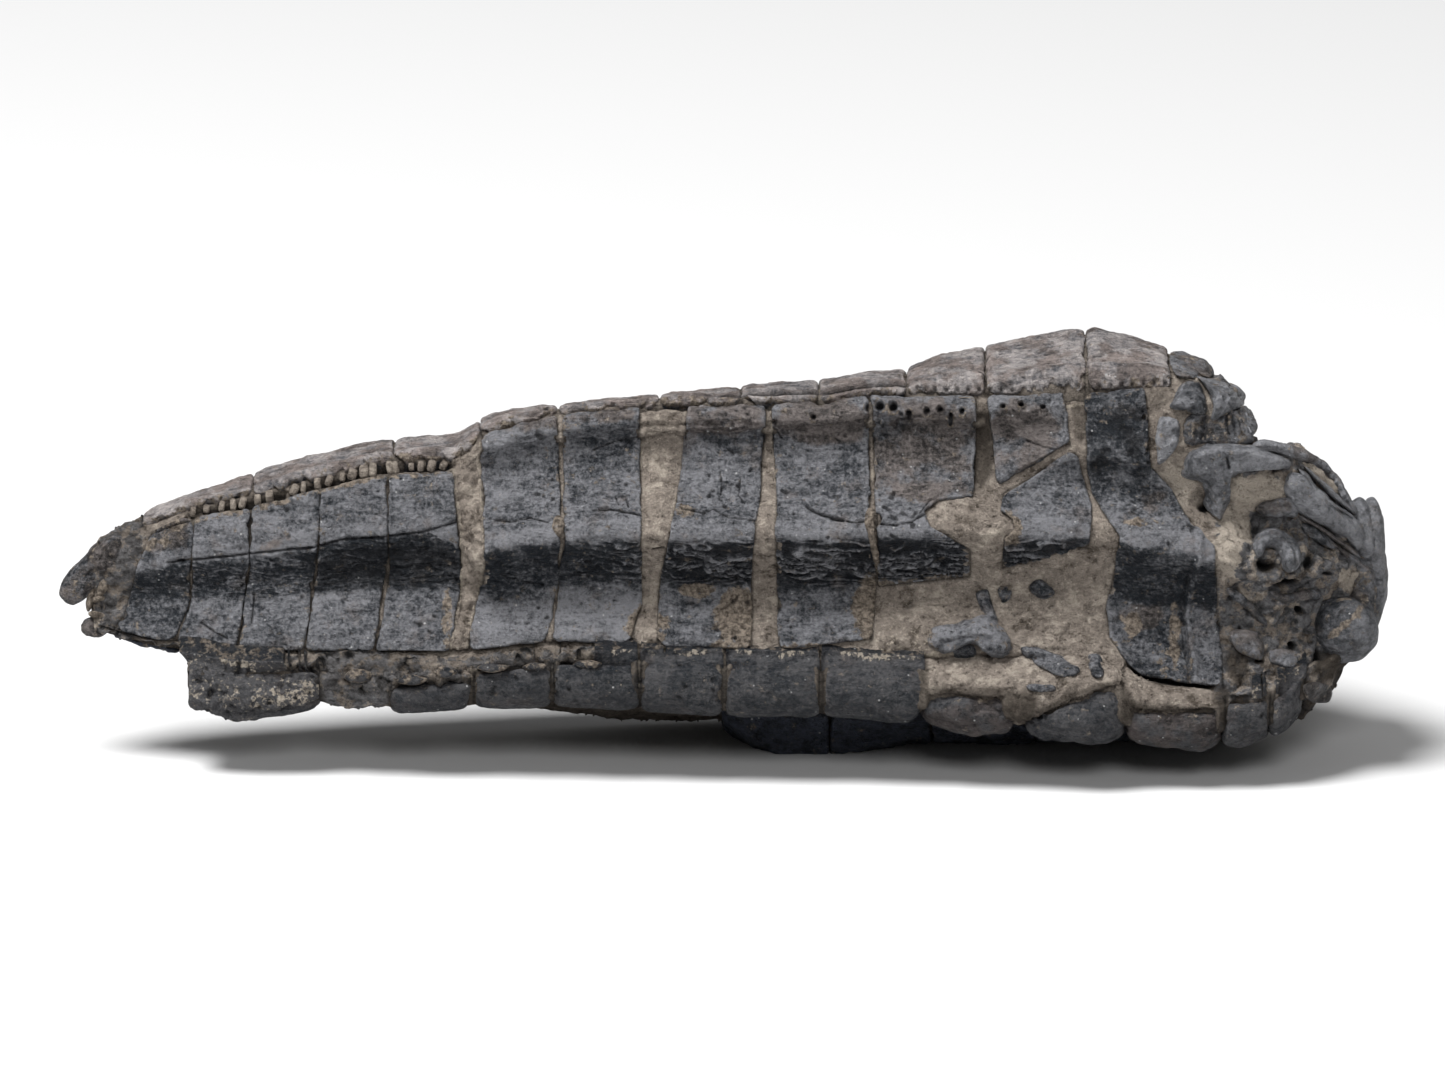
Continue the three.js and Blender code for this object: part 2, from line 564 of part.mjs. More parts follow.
// The sandstone body before its pockets are cut: rings round the crown, a little under the plates.
function matrixBody() {
  const rings = MATRIX_STATIONS.map((x) =>
    Object.entries(MATRIX_STEPS).flatMap(([arm, steps]) =>
      Array.from({ length: steps }, (_, k) => seated(x, ...sunk(arm, x, k / steps, MATRIX_BELOW_PLATES))),
    ),
  );
  const [start, end] = MATRIX_ENDS.map((x) => seated(x, ...through(AXIS, x)));
  return ringSolid(start, rings, end);
}

// A stretched ball with its poles at the two ends of its length.
function tipStub({ at, size, tiltDeg }) {
  const tilt = (tiltDeg * Math.PI) / 180;
  const place = (lat, turn) => {
    const [u, v] = [Math.cos(lat) * size[0], Math.sin(lat) * Math.sin(turn) * size[2]];
    const d = Math.sin(lat) * Math.cos(turn) * size[1];
    const x = at[0] + u * Math.cos(tilt) - v * Math.sin(tilt);
    const w = at[2] + u * Math.sin(tilt) + v * Math.cos(tilt);
    return seated(x, at[1] + d, w);
  };
  const rings = [0.17, 0.34, 0.5, 0.66, 0.83].map((lat) =>
    Array.from({ length: 9 }, (_, k) => place(lat * Math.PI, (2 * Math.PI * k) / 9)),
  );
  return ringSolid(place(0, 0), rings, place(Math.PI, 0));
}

// ---------------------------------------------------------------- assembly
const floorBox = new THREE.BoxGeometry(FLOOR_CUTTER, FLOOR_CUTTER, FLOOR_CUTTER);
floorBox.translate(0, 0, -FLOOR_CUTTER / 2);
const floor = solidOf(floorBox);

const crown = new THREE.Group();
crown.name = "crinoid_crown";

function addNode(name, solid, stone) {
  const [color, roughness] = STONES[stone];
  const material = new THREE.MeshStandardMaterial({ color, roughness, metalness: 0 });
  const mesh = new THREE.Mesh(geometryOf(tidied(solid.subtract(floor))), material);
  mesh.name = name;
  crown.add(mesh);
}

const cutters = [];
const lessPockets = (solid) => cutters.reduce((rest, cutter) => rest.subtract(cutter), solid);
for (const [arm, plates] of Object.entries(ARM_PLATES)) {
  for (const [name, plate] of Object.entries(plates)) {
    addNode(name, armPlate(arm, plate), arm);
    cutters.push(armPlate(arm, plate, BED_GAP));
  }
}
for (const [name, plate] of Object.entries(CUP_PLATES)) {
  addNode(name, lessPockets(cupPlate(plate)), "cup");
  cutters.push(cupPlate(plate, BED_GAP));
}
const body = TIP_STUBS.reduce((solid, stub) => solid.add(tipStub(stub)), matrixBody());
addNode("matrix", lessPockets(body), "matrix");

export default crown;
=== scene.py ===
"""A fossil crinoid crown: calcite plates of five closed arms and a cup, bedded in brown sandstone."""

import math

import bmesh
import bpy
import numpy as np
from bpy.props import FloatProperty, FloatVectorProperty, IntProperty, PointerProperty
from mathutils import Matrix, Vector


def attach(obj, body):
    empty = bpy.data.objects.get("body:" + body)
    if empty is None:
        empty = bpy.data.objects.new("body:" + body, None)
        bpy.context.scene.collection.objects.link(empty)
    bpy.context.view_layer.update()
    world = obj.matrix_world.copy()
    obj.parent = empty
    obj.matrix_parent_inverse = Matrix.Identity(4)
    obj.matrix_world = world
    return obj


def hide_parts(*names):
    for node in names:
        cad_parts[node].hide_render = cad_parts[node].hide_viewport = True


bl_info = {
    "name": "Crinoid Crown",
    "version": (1, 0, 0),
    "blender": (4, 5, 0),
    "location": "3D View > Sidebar > Crinoid",
    "description": "Builds a fossil crinoid crown in its sandstone, with the stage it lies on",
    "category": "Add Mesh",
}

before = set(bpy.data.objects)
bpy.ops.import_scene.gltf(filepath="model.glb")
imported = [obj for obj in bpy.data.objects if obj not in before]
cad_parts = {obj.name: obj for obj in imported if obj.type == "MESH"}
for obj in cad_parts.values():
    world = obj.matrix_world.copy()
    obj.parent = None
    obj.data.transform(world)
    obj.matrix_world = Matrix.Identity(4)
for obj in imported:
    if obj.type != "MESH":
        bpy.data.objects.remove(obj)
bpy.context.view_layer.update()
MM = 0.001
# The first seed of each kind of piece, and the step from one piece of a kind to the next.
FIRST_SEED = {
    "front": 0, "top": 400, "lower": 800, "under": 1200, "rear": 1600, "matrix": 2000, "cup": 2400,
    "fragments": 3000, "crumbs": 3500,
}
SEED_STEP = 31

# --- the crown's lines, in millimetres
# The crown is drawn in working axes: x from the arm tips to the cup, w up across the front arm, and
# d out from the front arm's face. SEAT rolls it to the way it lies.
SEAT = {"roll_deg": 14.0, "x": 0.87, "y": -0.69, "z": 22.3}

# Five seams divide the crown into its arms. Each row is x, d, w.
SEAMS = {
    "top_front": [
        (-66, 1.6, 0.2), (-61.6, 2.8, 1.8), (-56.3, 3.9, 3.9), (-50, 4.8, 5.1), (-42.6, 5.8, 7.1),
        (-35.8, 6.6, 8.7), (-28.6, 7.2, 9.1), (-25.6, 7.9, 11.5), (-23.7, 8.1, 12.3), (-17.4, 8.6, 13.9),
        (-8.9, 9.2, 14.7), (3, 9.8, 15), (10, 10.1, 15.1), (15.3, 10.4, 15.9), (30, 11.2, 15.9),
        (38, 11.8, 16.3), (45, 12.2, 16.6), (52, 12.2, 15.2), (57, 11, 11), (61, 9, 9.4), (65, 6, 6),
        (68.5, 2.5, 1),
    ],
    "front_lower": [
        (-66, 1.5, -9), (-61.6, 3, -10.2), (-57.1, 4, -10.9), (-50, 5.4, -11.5), (-42.6, 6.6, -11.7),
        (-28.4, 8.2, -11.8), (-17.4, 9, -11), (0, 10, -11.7), (20, 10.6, -11.9), (36, 11.4, -11.9),
        (41, 11.8, -12.8), (44.5, 12, -14.6), (52, 12, -15.5), (57, 11.4, -14.8), (61, 9.6, -13.2),
        (65, 6.5, -11), (68.5, 2.5, -6.5),
    ],
    "lower_under": [
        (-66, 0, -9.4), (-61.6, 1, -10.8), (-57.6, 1.5, -11.6), (-56.4, -2, -15.2), (-50, -2.5, -16),
        (-28, -2, -16.2), (0, -1, -16.6), (20, 0, -18), (38, 0, -19.2), (52, 0, -19.4), (57, 0, -19.2),
        (61, 0, -17.8), (65, -0.5, -14), (68.5, -1, -7),
    ],
    "under_rear": [
        (-66, -2, -6), (-61.6, -4, -7.4), (-50, -7, -9.5), (-42.6, -8.8, -11), (-25.8, -12, -15),
        (-8.9, -15, -18.6), (10, -17, -18.8), (38, -17, -18.8), (48, -16, -18.8), (52, -15, -18.4),
        (57, -13, -16.4), (61, -10.5, -13.5), (65, -7, -10), (68.5, -3.5, -5),
    ],
    "rear_top": [
        (-66, -1.6, 0.4), (-61.6, -3.4, 1.6), (-50, -6.2, 4), (-42.6, -7.6, 5.8), (-25.8, -10, 9),
        (-8.9, -11.6, 11.4), (10, -13, 13), (25, -14.4, 14.8), (38, -15.4, 16), (46, -15.2, 15.6),
        (52, -14.4, 13.4), (57, -12.4, 9.6), (61, -10, 7.2), (65, -6.5, 4), (68.5, -3.5, 0),
    ],
}

TIP_END, CUP_END = -66.0, 67.5  # x where the sandstone's rounded ends begin
TIP_CAP, CUP_CAP = -0.9, 1.9  # how far they reach past that
ARM_WIDTH = 27.0

# The line that the plates' side walls point to. Each row is x, d, w.
AXIS = [(-66, 0, -4.5), (-40, -1.5, -1.5), (0, -2, -1), (40, -2.5, -1), (60, -1, -3), (69, -1, -3)]


def chord(*rows):
    """Rows of (v, height) with v as the place along the chord."""
    return [(v, v, height) for v, height in rows]


# An arm's section from its first seam to its second: v, place along the chord, height over it.
SECTIONS = {
    "front_tip": chord(
        (0, 0), (0.05, 0.035), (0.12, 0.05), (0.3, 0.075), (0.345, 0.07), (0.58, -0.035), (0.66, -0.03),
        (0.9, 0.03), (0.97, 0.035), (1, 0)),
    "front_middle": chord(
        (0, 0), (0.025, 0.055), (0.065, 0.062), (0.14, 0.008), (0.2, 0.008), (0.35, 0.06), (0.46, 0.125),
        (0.52, 0.145), (0.565, 0.125), (0.7, -0.03), (0.77, -0.038), (0.94, 0.03), (0.98, 0.03), (1, 0)),
    "front_base": chord(
        (0, 0), (0.02, 0.05), (0.06, 0.06), (0.24, 0.05), (0.3, 0.015), (0.36, 0), (0.42, 0.03), (0.5, 0.08),
        (0.545, 0.08), (0.62, 0.025), (0.78, -0.045), (0.86, -0.045), (0.96, -0.01), (1, 0)),
    "lower": [
        (0, 0, 0), (0.073, -0.062, 0.097), (0.139, -0.095, 0.197), (0.234, -0.042, 0.337),
        (0.335, 0.077, 0.444), (0.418, 0.207, 0.461), (0.607, 0.484, 0.349), (0.818, 0.756, 0.154),
        (1, 1, 0),
    ],
    "under": chord(
        (0, 0), (0.05, 0.05), (0.12, 0.11), (0.22, 0.2), (0.5, 0.21), (0.76, 0.08), (1, 0)),
    "rear": chord(
        (0, 0), (0.03, 0.04), (0.07, 0.045), (0.2, 0), (0.46, 0.12), (0.54, 0.12), (0.8, 0), (0.93, 0.05),
        (0.97, 0.04), (1, 0)),
    "top": chord(
        (0, 0), (0.04, 0.05), (0.12, 0.045), (0.25, 0.03), (0.45, 0.145), (0.55, 0.15), (0.72, 0.11),
        (0.85, 0.07), (0.95, 0.065), (0.985, 0.045), (1, 0)),
}

# Each arm: its seams, its sections with the x at which each holds, and how much the relief is raised.
ARMS = {
    "front": {
        "seams": ("top_front", "front_lower"),
        "sections": [(-28.5, "front_tip"), (-25.5, "front_middle"), (27, "front_middle"), (38, "front_base")],
        "relief": [(-66, 1), (70, 1)],
    },
    "lower": {
        "seams": ("front_lower", "lower_under"),
        "sections": [(0, "lower")],
        "relief": [
            (-66, 0.3), (-58, 0.4), (-56.5, 1.75), (-50, 1.6), (-43, 1.1), (-36, 1.1), (-26, 0.92), (0, 1),
            (15, 1), (22, 1.15), (30, 1.3), (38, 1.3), (44, 1), (52, 0.9), (58, 0.9), (62, 0.6), (69, 0.4),
        ],
    },
    "under": {
        "seams": ("lower_under", "under_rear"),
        "sections": [(0, "under")],
        "relief": [
            (-66, 0.5), (-10, 0.4), (-1, 0.4), (3, 1.25), (6.5, 1.6), (10, 1.5), (16, 1), (20, 0.72),
            (30, 0.62), (38, 0.4), (48, 0.5), (54, 0.6), (60, 0.6), (69, 0.5),
        ],
    },
    "rear": {
        "seams": ("under_rear", "rear_top"),
        "sections": [(0, "rear")],
        "relief": [(-66, 1), (50, 1), (69, 0.6)],
    },
    "top": {
        "seams": ("rear_top", "top_front"),
        "sections": [(0, "top")],
        "relief": [
            (-66, 1.6), (-61.6, 1.9), (-56, 1.5), (-50, 1.85), (-42.6, 1.6), (-35.8, 1.37), (-25.8, 1.15),
            (-17, 0.85), (-8.9, 0.8), (5, 0.98), (19, 0.95), (23, 1.33), (27, 1.44), (33, 1.6), (39, 1.64),
            (45, 1.25), (52, 0.9), (69, 0.6),
        ],
    },
}

# --- the arm plates
# left and right are a plate's cross edges, as (v, x) down the arm's width. across is its range of v
# at the left edge, then at the right edge. corner is the radius of its corners.


def edged(left, right, across, corner=0.8):
    return {"left": left, "right": right, "across": across, "corner": corner}


def brick(left, right, starts=(0.03, 0.03), last=0.97):
    """A plate with straight cross edges. starts holds its first v at its left and at its right edge."""
    return edged([(0, left), (1, left)], [(0, right), (1, right)], [(start, last) for start in starts])


# The range of v at both cross edges of a plate as wide as the arm, and of one below the small sockets.
WIDE, BELOW_SOCKETS = ((0.004, 0.97), (0.004, 0.97)), ((0.062, 0.975), (0.062, 0.975))
FRONT_PLATES = {f"front_arm_plate_{key}": edged(*rows) for key, rows in {
    "01": (
        [(0.02, 37.8), (0.31, 38.2), (0.38, 38.7), (0.45, 39.9), (0.53, 41.5), (0.66, 41), (0.8, 40.1),
         (0.9, 40.6), (0.98, 42.6)],
        [(0.02, 44), (0.27, 44.6), (0.34, 46.8), (0.41, 48.4), (0.5, 51.2), (0.72, 51.6), (0.98, 52.3)],
        ((0.004, 0.975), (0.004, 0.975)), 0.9),
    "02_upper": (
        [(0.03, 27.7), (0.35, 28.8)],
        [(0.03, 35.6), (0.2, 36.1)],
        ((0.004, 0.335), (0.004, 0.195)), 0.5),
    "02_lower": (
        [(0.36, 29.3), (0.44, 29.2), (0.47, 30.4), (0.51, 30.6), (0.55, 29.6), (0.66, 29.2)],
        [(0.22, 36.6), (0.37, 38), (0.42, 38.4), (0.59, 38)],
        ((0.37, 0.66), (0.23, 0.59)), 0.9),
    "03": (
        [(0.02, 15.5), (0.4, 15.9), (0.7, 16.2)],
        [(0.02, 26.3), (0.3, 26.1), (0.385, 25.9), (0.39, 24.6), (0.4, 22.2), (0.44, 20.8),
         (0.5, 21.4), (0.545, 23.2), (0.6, 25.7), (0.69, 25.7)],
        ((0.004, 0.73), (0.004, 0.69)), 0.4),
    "04": (
        [(0.02, 5), (0.35, 5.6), (0.5, 5.4), (0.97, 5.8)],
        [(0.02, 14.9), (0.4, 15.2), (0.47, 14.9), (0.7, 15.8), (0.97, 15.3)],
        ((0.004, 0.97), (0.004, 0.93)), 0.7),
    "05": (
        [(0.03, -3.9), (0.28, -4.5), (0.5, -5.6), (0.75, -6.9), (0.97, -7)],
        [(0.03, 4.2), (0.3, 3.7), (0.6, 2.8), (0.97, 2.6)],
        WIDE, 0.9),
    "06": (
        [(0.03, -16.9), (0.55, -16.8), (0.7, -17.3), (0.97, -18.1)],
        [(0.02, -9.1), (0.6, -8.9), (0.8, -8.9), (0.97, -10.3)],
        WIDE, 0.8),
    "07": (
        [(0.03, -25.6), (0.6, -25.1), (0.86, -26.6), (0.97, -27)],
        [(0.03, -17.8), (0.38, -17.4), (0.72, -17.7), (0.97, -19)],
        WIDE, 1.0),
    "08": (
        [(0.02, -35.4), (0.55, -35.2), (0.8, -35.9), (0.98, -36.8)],
        [(0.02, -29), (0.3, -28.2), (0.5, -28.1), (0.7, -28.1), (0.98, -29.2)],
        BELOW_SOCKETS, 0.6),
    "09": (
        [(0.02, -42.4), (0.55, -42.9), (0.98, -44.2)],
        [(0.02, -35.8), (0.5, -35.6), (0.98, -37.2)],
        BELOW_SOCKETS, 0.5),
    "10": (
        [(0.02, -49.8), (0.4, -49.9), (0.98, -51.2)],
        [(0.02, -42.8), (0.4, -43), (0.98, -44.6)],
        BELOW_SOCKETS, 0.5),
    "11": (
        [(0.02, -55.8), (0.65, -56.2), (0.98, -57.8)],
        [(0.02, -50.2), (0.4, -50.3), (0.98, -51.6)],
        BELOW_SOCKETS, 0.7),
    "12": (
        [(0.05, -60.4), (0.3, -61.8), (0.75, -63.2), (0.95, -64.6)],
        [(0.02, -56.2), (0.65, -56.6), (0.95, -58.2)],
        ((0.05, 0.96), (0.04, 0.96)), 1.2),
}.items()}


def numbered(prefix, rows, last=0.97):
    """A run of bricks, numbered from the cup to the tip."""
    return {f"{prefix}_{k + 1:02d}": brick(*row, last=last) for k, row in enumerate(rows)}


TOP_PLATES = numbered("top_arm_plate", [
    (38.2, 46.8), (27.6, 37.8), (19.2, 27.2), (10.1, 18.8), (1.8, 9.7), (-6.8, 1.4), (-17.4, -7.2),
    (-25.8, -17.8), (-34.8, -26.2), (-49.7, -35.2), (-61.6, -50.1),
], last=1.0)
# Sandstone covers the tops of the lower plates, so each starts at its own places down the arm.
LOWER_PLATES = numbered("lower_arm_plate", [
    (57.7, 61, (0.09, 0.05)), (52.5, 57.3, (0.07, 0.09)), (42.2, 52.1, (0.2, 0.13)), (31.7, 41.8, (0.31, 0.11)),
    (20.7, 29.9, (0.23, 0.2)), (10.3, 20.3, (0.03, 0.06)), (0.1, 9.9, (0.02, 0.03)), (-8.8, -0.3, (0.06, 0.02)),
    (-18, -9.2, (0.13, 0.07)), (-26.4, -18.4, (0.15, 0.13)), (-35.2, -26.9, (0.235, 0.2)),
    (-57, -42.8, (0.1, 0.12)),
])
LOWER_PLATES["lower_arm_plate_06"]["right"] = [(0, 21), (0.3, 20.6), (0.5, 19.6), (1, 19.2)]
LOWER_PLATES["lower_arm_plate_12"]["corner"] = 1.5
BROKEN_PLATES = ("lower_arm_plate_03", "lower_arm_plate_04", "lower_arm_plate_05")
for name in BROKEN_PLATES:
    LOWER_PLATES[name]["corner"] = 2.2
STAINED_PLATES = ("lower_arm_plate_03", "lower_arm_plate_05")
LUMPY_PLATES = ("lower_arm_plate_01", "lower_arm_plate_02", "lower_arm_plate_04")
UNDER_PLATES = numbered("under_arm_plate", [
    (43.4, 51.8), (33, 43), (22, 32.6), (11.3, 21.6), (-0.3, 10.9),
])
UNDER_PLATES["under_arm_plate_tip"] = brick(-64.4, -57.8)
REAR_PLATES = numbered("rear_arm_plate", [
    (36.6, 47), (25.4, 36.2), (14.6, 25), (3.2, 14.2), (-9.6, 2.8), (-27, -10), (-60.6, -27.4),
])

# --- marks on the stone, as (x, w)
# Cracks: a line, its half width and its depth.
CRACKS = [
    ([(-58.8, -1.9), (-55.3, -1.5), (-52, -1.2), (-48.9, -0.8), (-43.2, -0.3), (-40.5, 0.5), (-36, 0.8),
      (-32, 1.3), (-28.2, 2.4)], 0.12, 0.32),
    ([(-62.6, 0.9), (-60, 1.4), (-57.5, 2.3), (-56.2, 2.6)], 0.1, 0.25),
    ([(-13.8, 10), (-11.6, 10.9), (-8.9, 11.4)], 0.09, 0.22),
    ([(-13.9, 3.7), (-12, 3.8), (-8.9, 3.2)], 0.1, 0.3),
    ([(-11.5, 5.2), (-11.2, 4.3)], 0.08, 0.15),
    ([(-10.4, 4.9), (-10.2, 4.1)], 0.08, 0.15),
    ([(-24.8, 2.8), (-22.6, 2.5), (-20.5, 2.9), (-18.6, 2.4)], 0.09, 0.2),
    ([(-23.6, -3.2), (-21, -3.9), (-19.2, -4.2)], 0.1, 0.2),
    ([(-4.6, 3.9), (-2.4, 3.5), (-1.2, 3.8), (0.4, 2.9), (3.6, 2.6)], 0.08, 0.2),
    ([(-0.6, 8.2), (-0.3, 6.2), (-0.6, 4.9)], 0.07, 0.15),
    ([(1.6, 7), (1.4, 5.2), (2.1, 4.4)], 0.07, 0.12),
    ([(8.6, 4), (9.6, 3.4), (11.4, 2.8), (12.4, 2.7)], 0.16, 0.45),
    ([(12.4, 2.7), (13.6, 2.4), (15.2, 2.6)], 0.08, 0.25),
    ([(15.4, 2.4), (18, 2.1), (19.6, 2.4), (21, 3.3)], 0.1, 0.3),
    ([(20.4, 3.3), (21.4, 4.6), (22.4, 5.2)], 0.07, 0.12),
    ([(-55.2, -8.2), (-53.6, -9.3), (-52.4, -9.9)], 0.09, 0.25),
    ([(-49.6, -5), (-49.9, -8.2)], 0.08, 0.25),
    ([(31.5, 11), (33.6, 10.2), (35.4, 9.9)], 0.08, 0.15),
    ([(5.6, 13.6), (5.2, 12.4), (6, 11.2)], 0.08, 0.12),
]
# Holes where fine branches sat, in the rims of the front plates: x, w, half width and half height.
RIM_HOLES = [
    (15.1, 14.4, 0.4, 0.5), (16.3, 14.6, 0.5, 0.55), (17.7, 14.5, 0.5, 0.6), (19.3, 13.7, 0.35, 0.5),
    (21.2, 14.0, 0.35, 0.5), (22.6, 14.2, 0.35, 0.45), (23.7, 13.2, 0.3, 0.6), (24.9, 14, 0.3, 0.45),
    (16.6, 12.9, 0.25, 0.35), (18.1, 13, 0.2, 0.25), (9.3, 13.4, 0.3, 0.35), (5.1, 12.9, 0.25, 0.3),
    (29.2, 14.6, 0.3, 0.3), (31.1, 14.8, 0.35, 0.3), (33.4, 14.5, 0.3, 0.3), (44, 13.4, 0.25, 0.3),
    (45.4, 11.7, 0.22, 0.25), (46.4, 13.3, 0.25, 0.3), (44.4, 10, 0.2, 0.2), (46, 9.3, 0.2, 0.25),
]
BEAD_PITCH = 1.15  # of the small hollows in the top arm's lip
# Runs of small sockets along the seam between the top and front arms: first x, last x and pitch.
SOCKET_RUNS = [(-56.0, -46.6, 1.35), (-45.4, -29.0, 1.22), (-13.6, -9.6, 1.1), (29.2, 41.6, BEAD_PITCH)]
# Open black slits between the top and front arms: first and last x.
SLITS = [(-38.6, -29.2), (-25.4, -21.8), (-9.0, -3.6), (-1.0, 19.4)]
# Places where sandstone still covers the front plates: middle (x, w), half sizes and strength.
FILMS = [
    ((24, -6.6), (3.4, 2), 1.0), ((15.6, -6.6), (2.8, 4.6), 1.0), ((9, -11), (5, 0.9), 0.7),
    ((1.6, -7.4), (3.6, 4), 0.95), ((-3, -4.8), (2.6, 1), 0.8), ((1.2, -11), (4, 1.2), 0.8),
    ((-8.2, -8.6), (3, 2.6), 0.8), ((-4.2, 3.6), (1.3, 0.9), 0.9), ((-17, -11.2), (3, 0.6), 0.7),
    ((29.9, 1.8), (1.7, 2.2), 1.0), ((-60.5, 1), (3, 2.2), 0.5), ((-29.3, -7.6), (0.8, 4), 0.6),
    ((42.9, -8.4), (1.1, 1.6), 0.8), ((47.3, -9), (0.8, 4), 0.6), ((43.6, 2.4), (2.2, 0.7), 0.6),
]
# Places where the front plates are grey-brown: middle (x, w), half sizes and strength.
STAINS = [
    ((10, 13), (6.4, 3.4), 1.0), ((21, 10), (6.6, 8), 0.75), ((31, 11.5), (5, 5), 0.65), ((0, 13.4), (5.4, 2.6), 0.8),
    ((-13, 14), (5, 1.6), 0.6), ((-21, 13), (5, 1.5), 0.5), ((45.5, 4), (6, 2), 0.4), ((-59.5, 1.5), (4, 3), 0.7),
    ((43.6, -7.6), (3, 2), 0.8), ((-49, 1), (5, 2), 0.35),
]
# Bare sandstone in the cup: middle (x, w), half sizes and turn. The rest of the cup's sandstone is grey.
CUP_SANDS = [
    ((53.2, 0.6), (2.4, 6.2), -8), ((55.8, 5.7), (3.8, 2.7), 8), ((47.6, 6.6), (2.4, 4), 35),
    ((66.2, -3.7), (2.1, 1.5), 0), ((51.8, 12.6), (2.6, 1.2), 0), ((62.9, 7.6), (4.8, 1.2), -48),
    ((60.6, -0.6), (0.7, 1.2), 0),
]
# Painted shade, as darker brown sandstone in the hollows: middle (x, w), half sizes and strength.
SHADES = [
    ((26.9, 10.2), (1.6, 6), 1.0), ((54.2, -12.6), (1.9, 2.8), 1.0), ((64.2, -13), (3.8, 1.9), 1.0),
    ((57, -2.2), (1.5, 1.2), 0.9), ((45.2, 15.6), (1.6, 2.2), 0.5), ((31.4, -17.6), (2.2, 3.6), 1.0),
    ((42.2, -17.8), (1.2, 3.2), 1.0), ((52.4, -17.4), (1.2, 3.4), 1.0),
    ((37.3, 13.4), (0.9, 3.5), 0.6), ((-27, 12), (2, 1.6), 0.4), ((3.9, 12), (1, 3), 0.4), ((50, 4.6), (1.2, 1.2), 0.6),
]
# Holes in the crumbly stone of the cup: x, w, half width, half height and depth.
CUP_HOLES = [
    (60.6, -7.1, 0.55, 0.5, 1.3), (59.6, -10.6, 0.5, 0.5, 1.3), (54.2, -9.1, 0.35, 0.3, 0.9),
    (56.2, -12.2, 0.6, 0.35, 1.0), (61.6, -1.6, 0.8, 1.2, 1.1), (56.9, -1.9, 1.2, 0.9, 2.0),
    (58.9, -4.3, 2.0, 0.5, 1.2), (50.3, 4.0, 0.8, 0.6, 0.7), (63.4, -3, 0.7, 0.4, 0.8),
    (64.6, -13.4, 3.2, 1.1, 1.6), (62.4, -11.9, 0.5, 1.2, 0.8),
]


# --- small mathematics
def through(rows, t):
    """Smooth values at t through rows of (t, value, ...), with no overshoot."""
    rows = np.asarray(rows, float)
    knots, values = rows[:, 0], rows[:, 1:]
    t = np.clip(t, knots[0], knots[-1])
    k = np.clip(np.searchsorted(knots, t, side="right") - 1, 0, len(knots) - 2)
    rise = np.diff(values, axis=0) / np.diff(knots)[:, None]
    slope = np.zeros_like(values)
    slope[0], slope[-1] = rise[0], rise[-1]
    both = rise[:-1] * rise[1:]
    total = rise[:-1] + rise[1:]
    slope[1:-1] = np.where(both > 0, 2 * both / np.where(total == 0, 1, total), 0)
    h = (knots[k + 1] - knots[k])[..., None]
    u = (t - knots[k])[..., None] / h
    return (
        (2 * u**3 - 3 * u**2 + 1) * values[k] + (u**3 - 2 * u**2 + u) * h * slope[k]
        + (3 * u**2 - 2 * u**3) * values[k + 1] + (u**3 - u**2) * h * slope[k + 1]
    )


def along(rows, t):
    """Straight-line values at t through rows of (t, value)."""
    knots, values = zip(*rows)
    return np.interp(t, knots, values)


def ramp(low, high, t):
    """0 at low, 1 at high, held past them and smooth between them."""
    u = np.clip((np.asarray(t) - low) / (high - low), 0, 1)
    return u * u * (3 - 2 * u)


def bell(t, middle, half_width):
    return np.exp(-(((np.asarray(t) - middle) / half_width) ** 2))


def unit(vectors):
    vectors = np.asarray(vectors, float)
    return vectors / np.maximum(np.linalg.norm(vectors, axis=-1), 1e-9)[..., None]


LATTICE_TURN = np.array([[0.36, 0.48, -0.8], [-0.8, 0.6, 0.0], [0.48, 0.64, 0.6]])


def grain(points, size, seed=0):
    """Smooth noise from -1 to 1 at points, with lumps of that size. size may be one number or three."""
    q = (np.asarray(points) / np.asarray(size)) @ LATTICE_TURN + seed * 17.31
    cell = np.floor(q).astype(np.int64)
    f = q - cell
    f = f * f * f * (f * (f * 6 - 15) + 10)
    out = np.zeros(q.shape[:-1])
    for corner in range(8):
        step = np.array([corner & 1, (corner >> 1) & 1, (corner >> 2) & 1])
        c = (cell + step).astype(np.uint32)
        h = c[..., 0] * np.uint32(0x8DA6B343) ^ c[..., 1] * np.uint32(0xD8163841) ^ c[..., 2] * np.uint32(0xCB1AB31F)
        h = (h ^ (h >> np.uint32(13))) * np.uint32(0x5BD1E995)
        h = h ^ (h >> np.uint32(15))
        weight = np.prod(np.where(step, f, 1 - f), axis=-1)
        out += weight * (h.astype(float) / 2147483648.0 - 1)
    return out


def rubble(points, size, octaves=3, seed=0):
    """Noise in several sizes, each half as large as the last."""
    return sum(grain(points, np.asarray(size) / 2**k, seed + 7 * k) / 2**k for k in range(octaves))


def distance_to(line, x, w):
    """Distance from the points (x, w) to a line of (x, w) points."""
    best = np.full(np.shape(x), 1e9)
    for (x0, w0), (x1, w1) in zip(line, line[1:]):
        dx, dw = x1 - x0, w1 - w0
        u = np.clip(((x - x0) * dx + (w - w0) * dw) / (dx * dx + dw * dw), 0, 1)
        best = np.minimum(best, np.hypot(x - x0 - u * dx, w - w0 - u * dw))
    return best


def patch(x, w, at, half, turn_deg=0.0):
    """1 in the middle of an oval at a point of the face, falling to 0 at its edge."""
    turn = math.radians(turn_deg)
    u = (x - at[0]) * math.cos(turn) + (w - at[1]) * math.sin(turn)
    v = (w - at[1]) * math.cos(turn) - (x - at[0]) * math.sin(turn)
    return ramp(0, 1, 2.2 * (1 - np.hypot(u / half[0], v / half[1])))


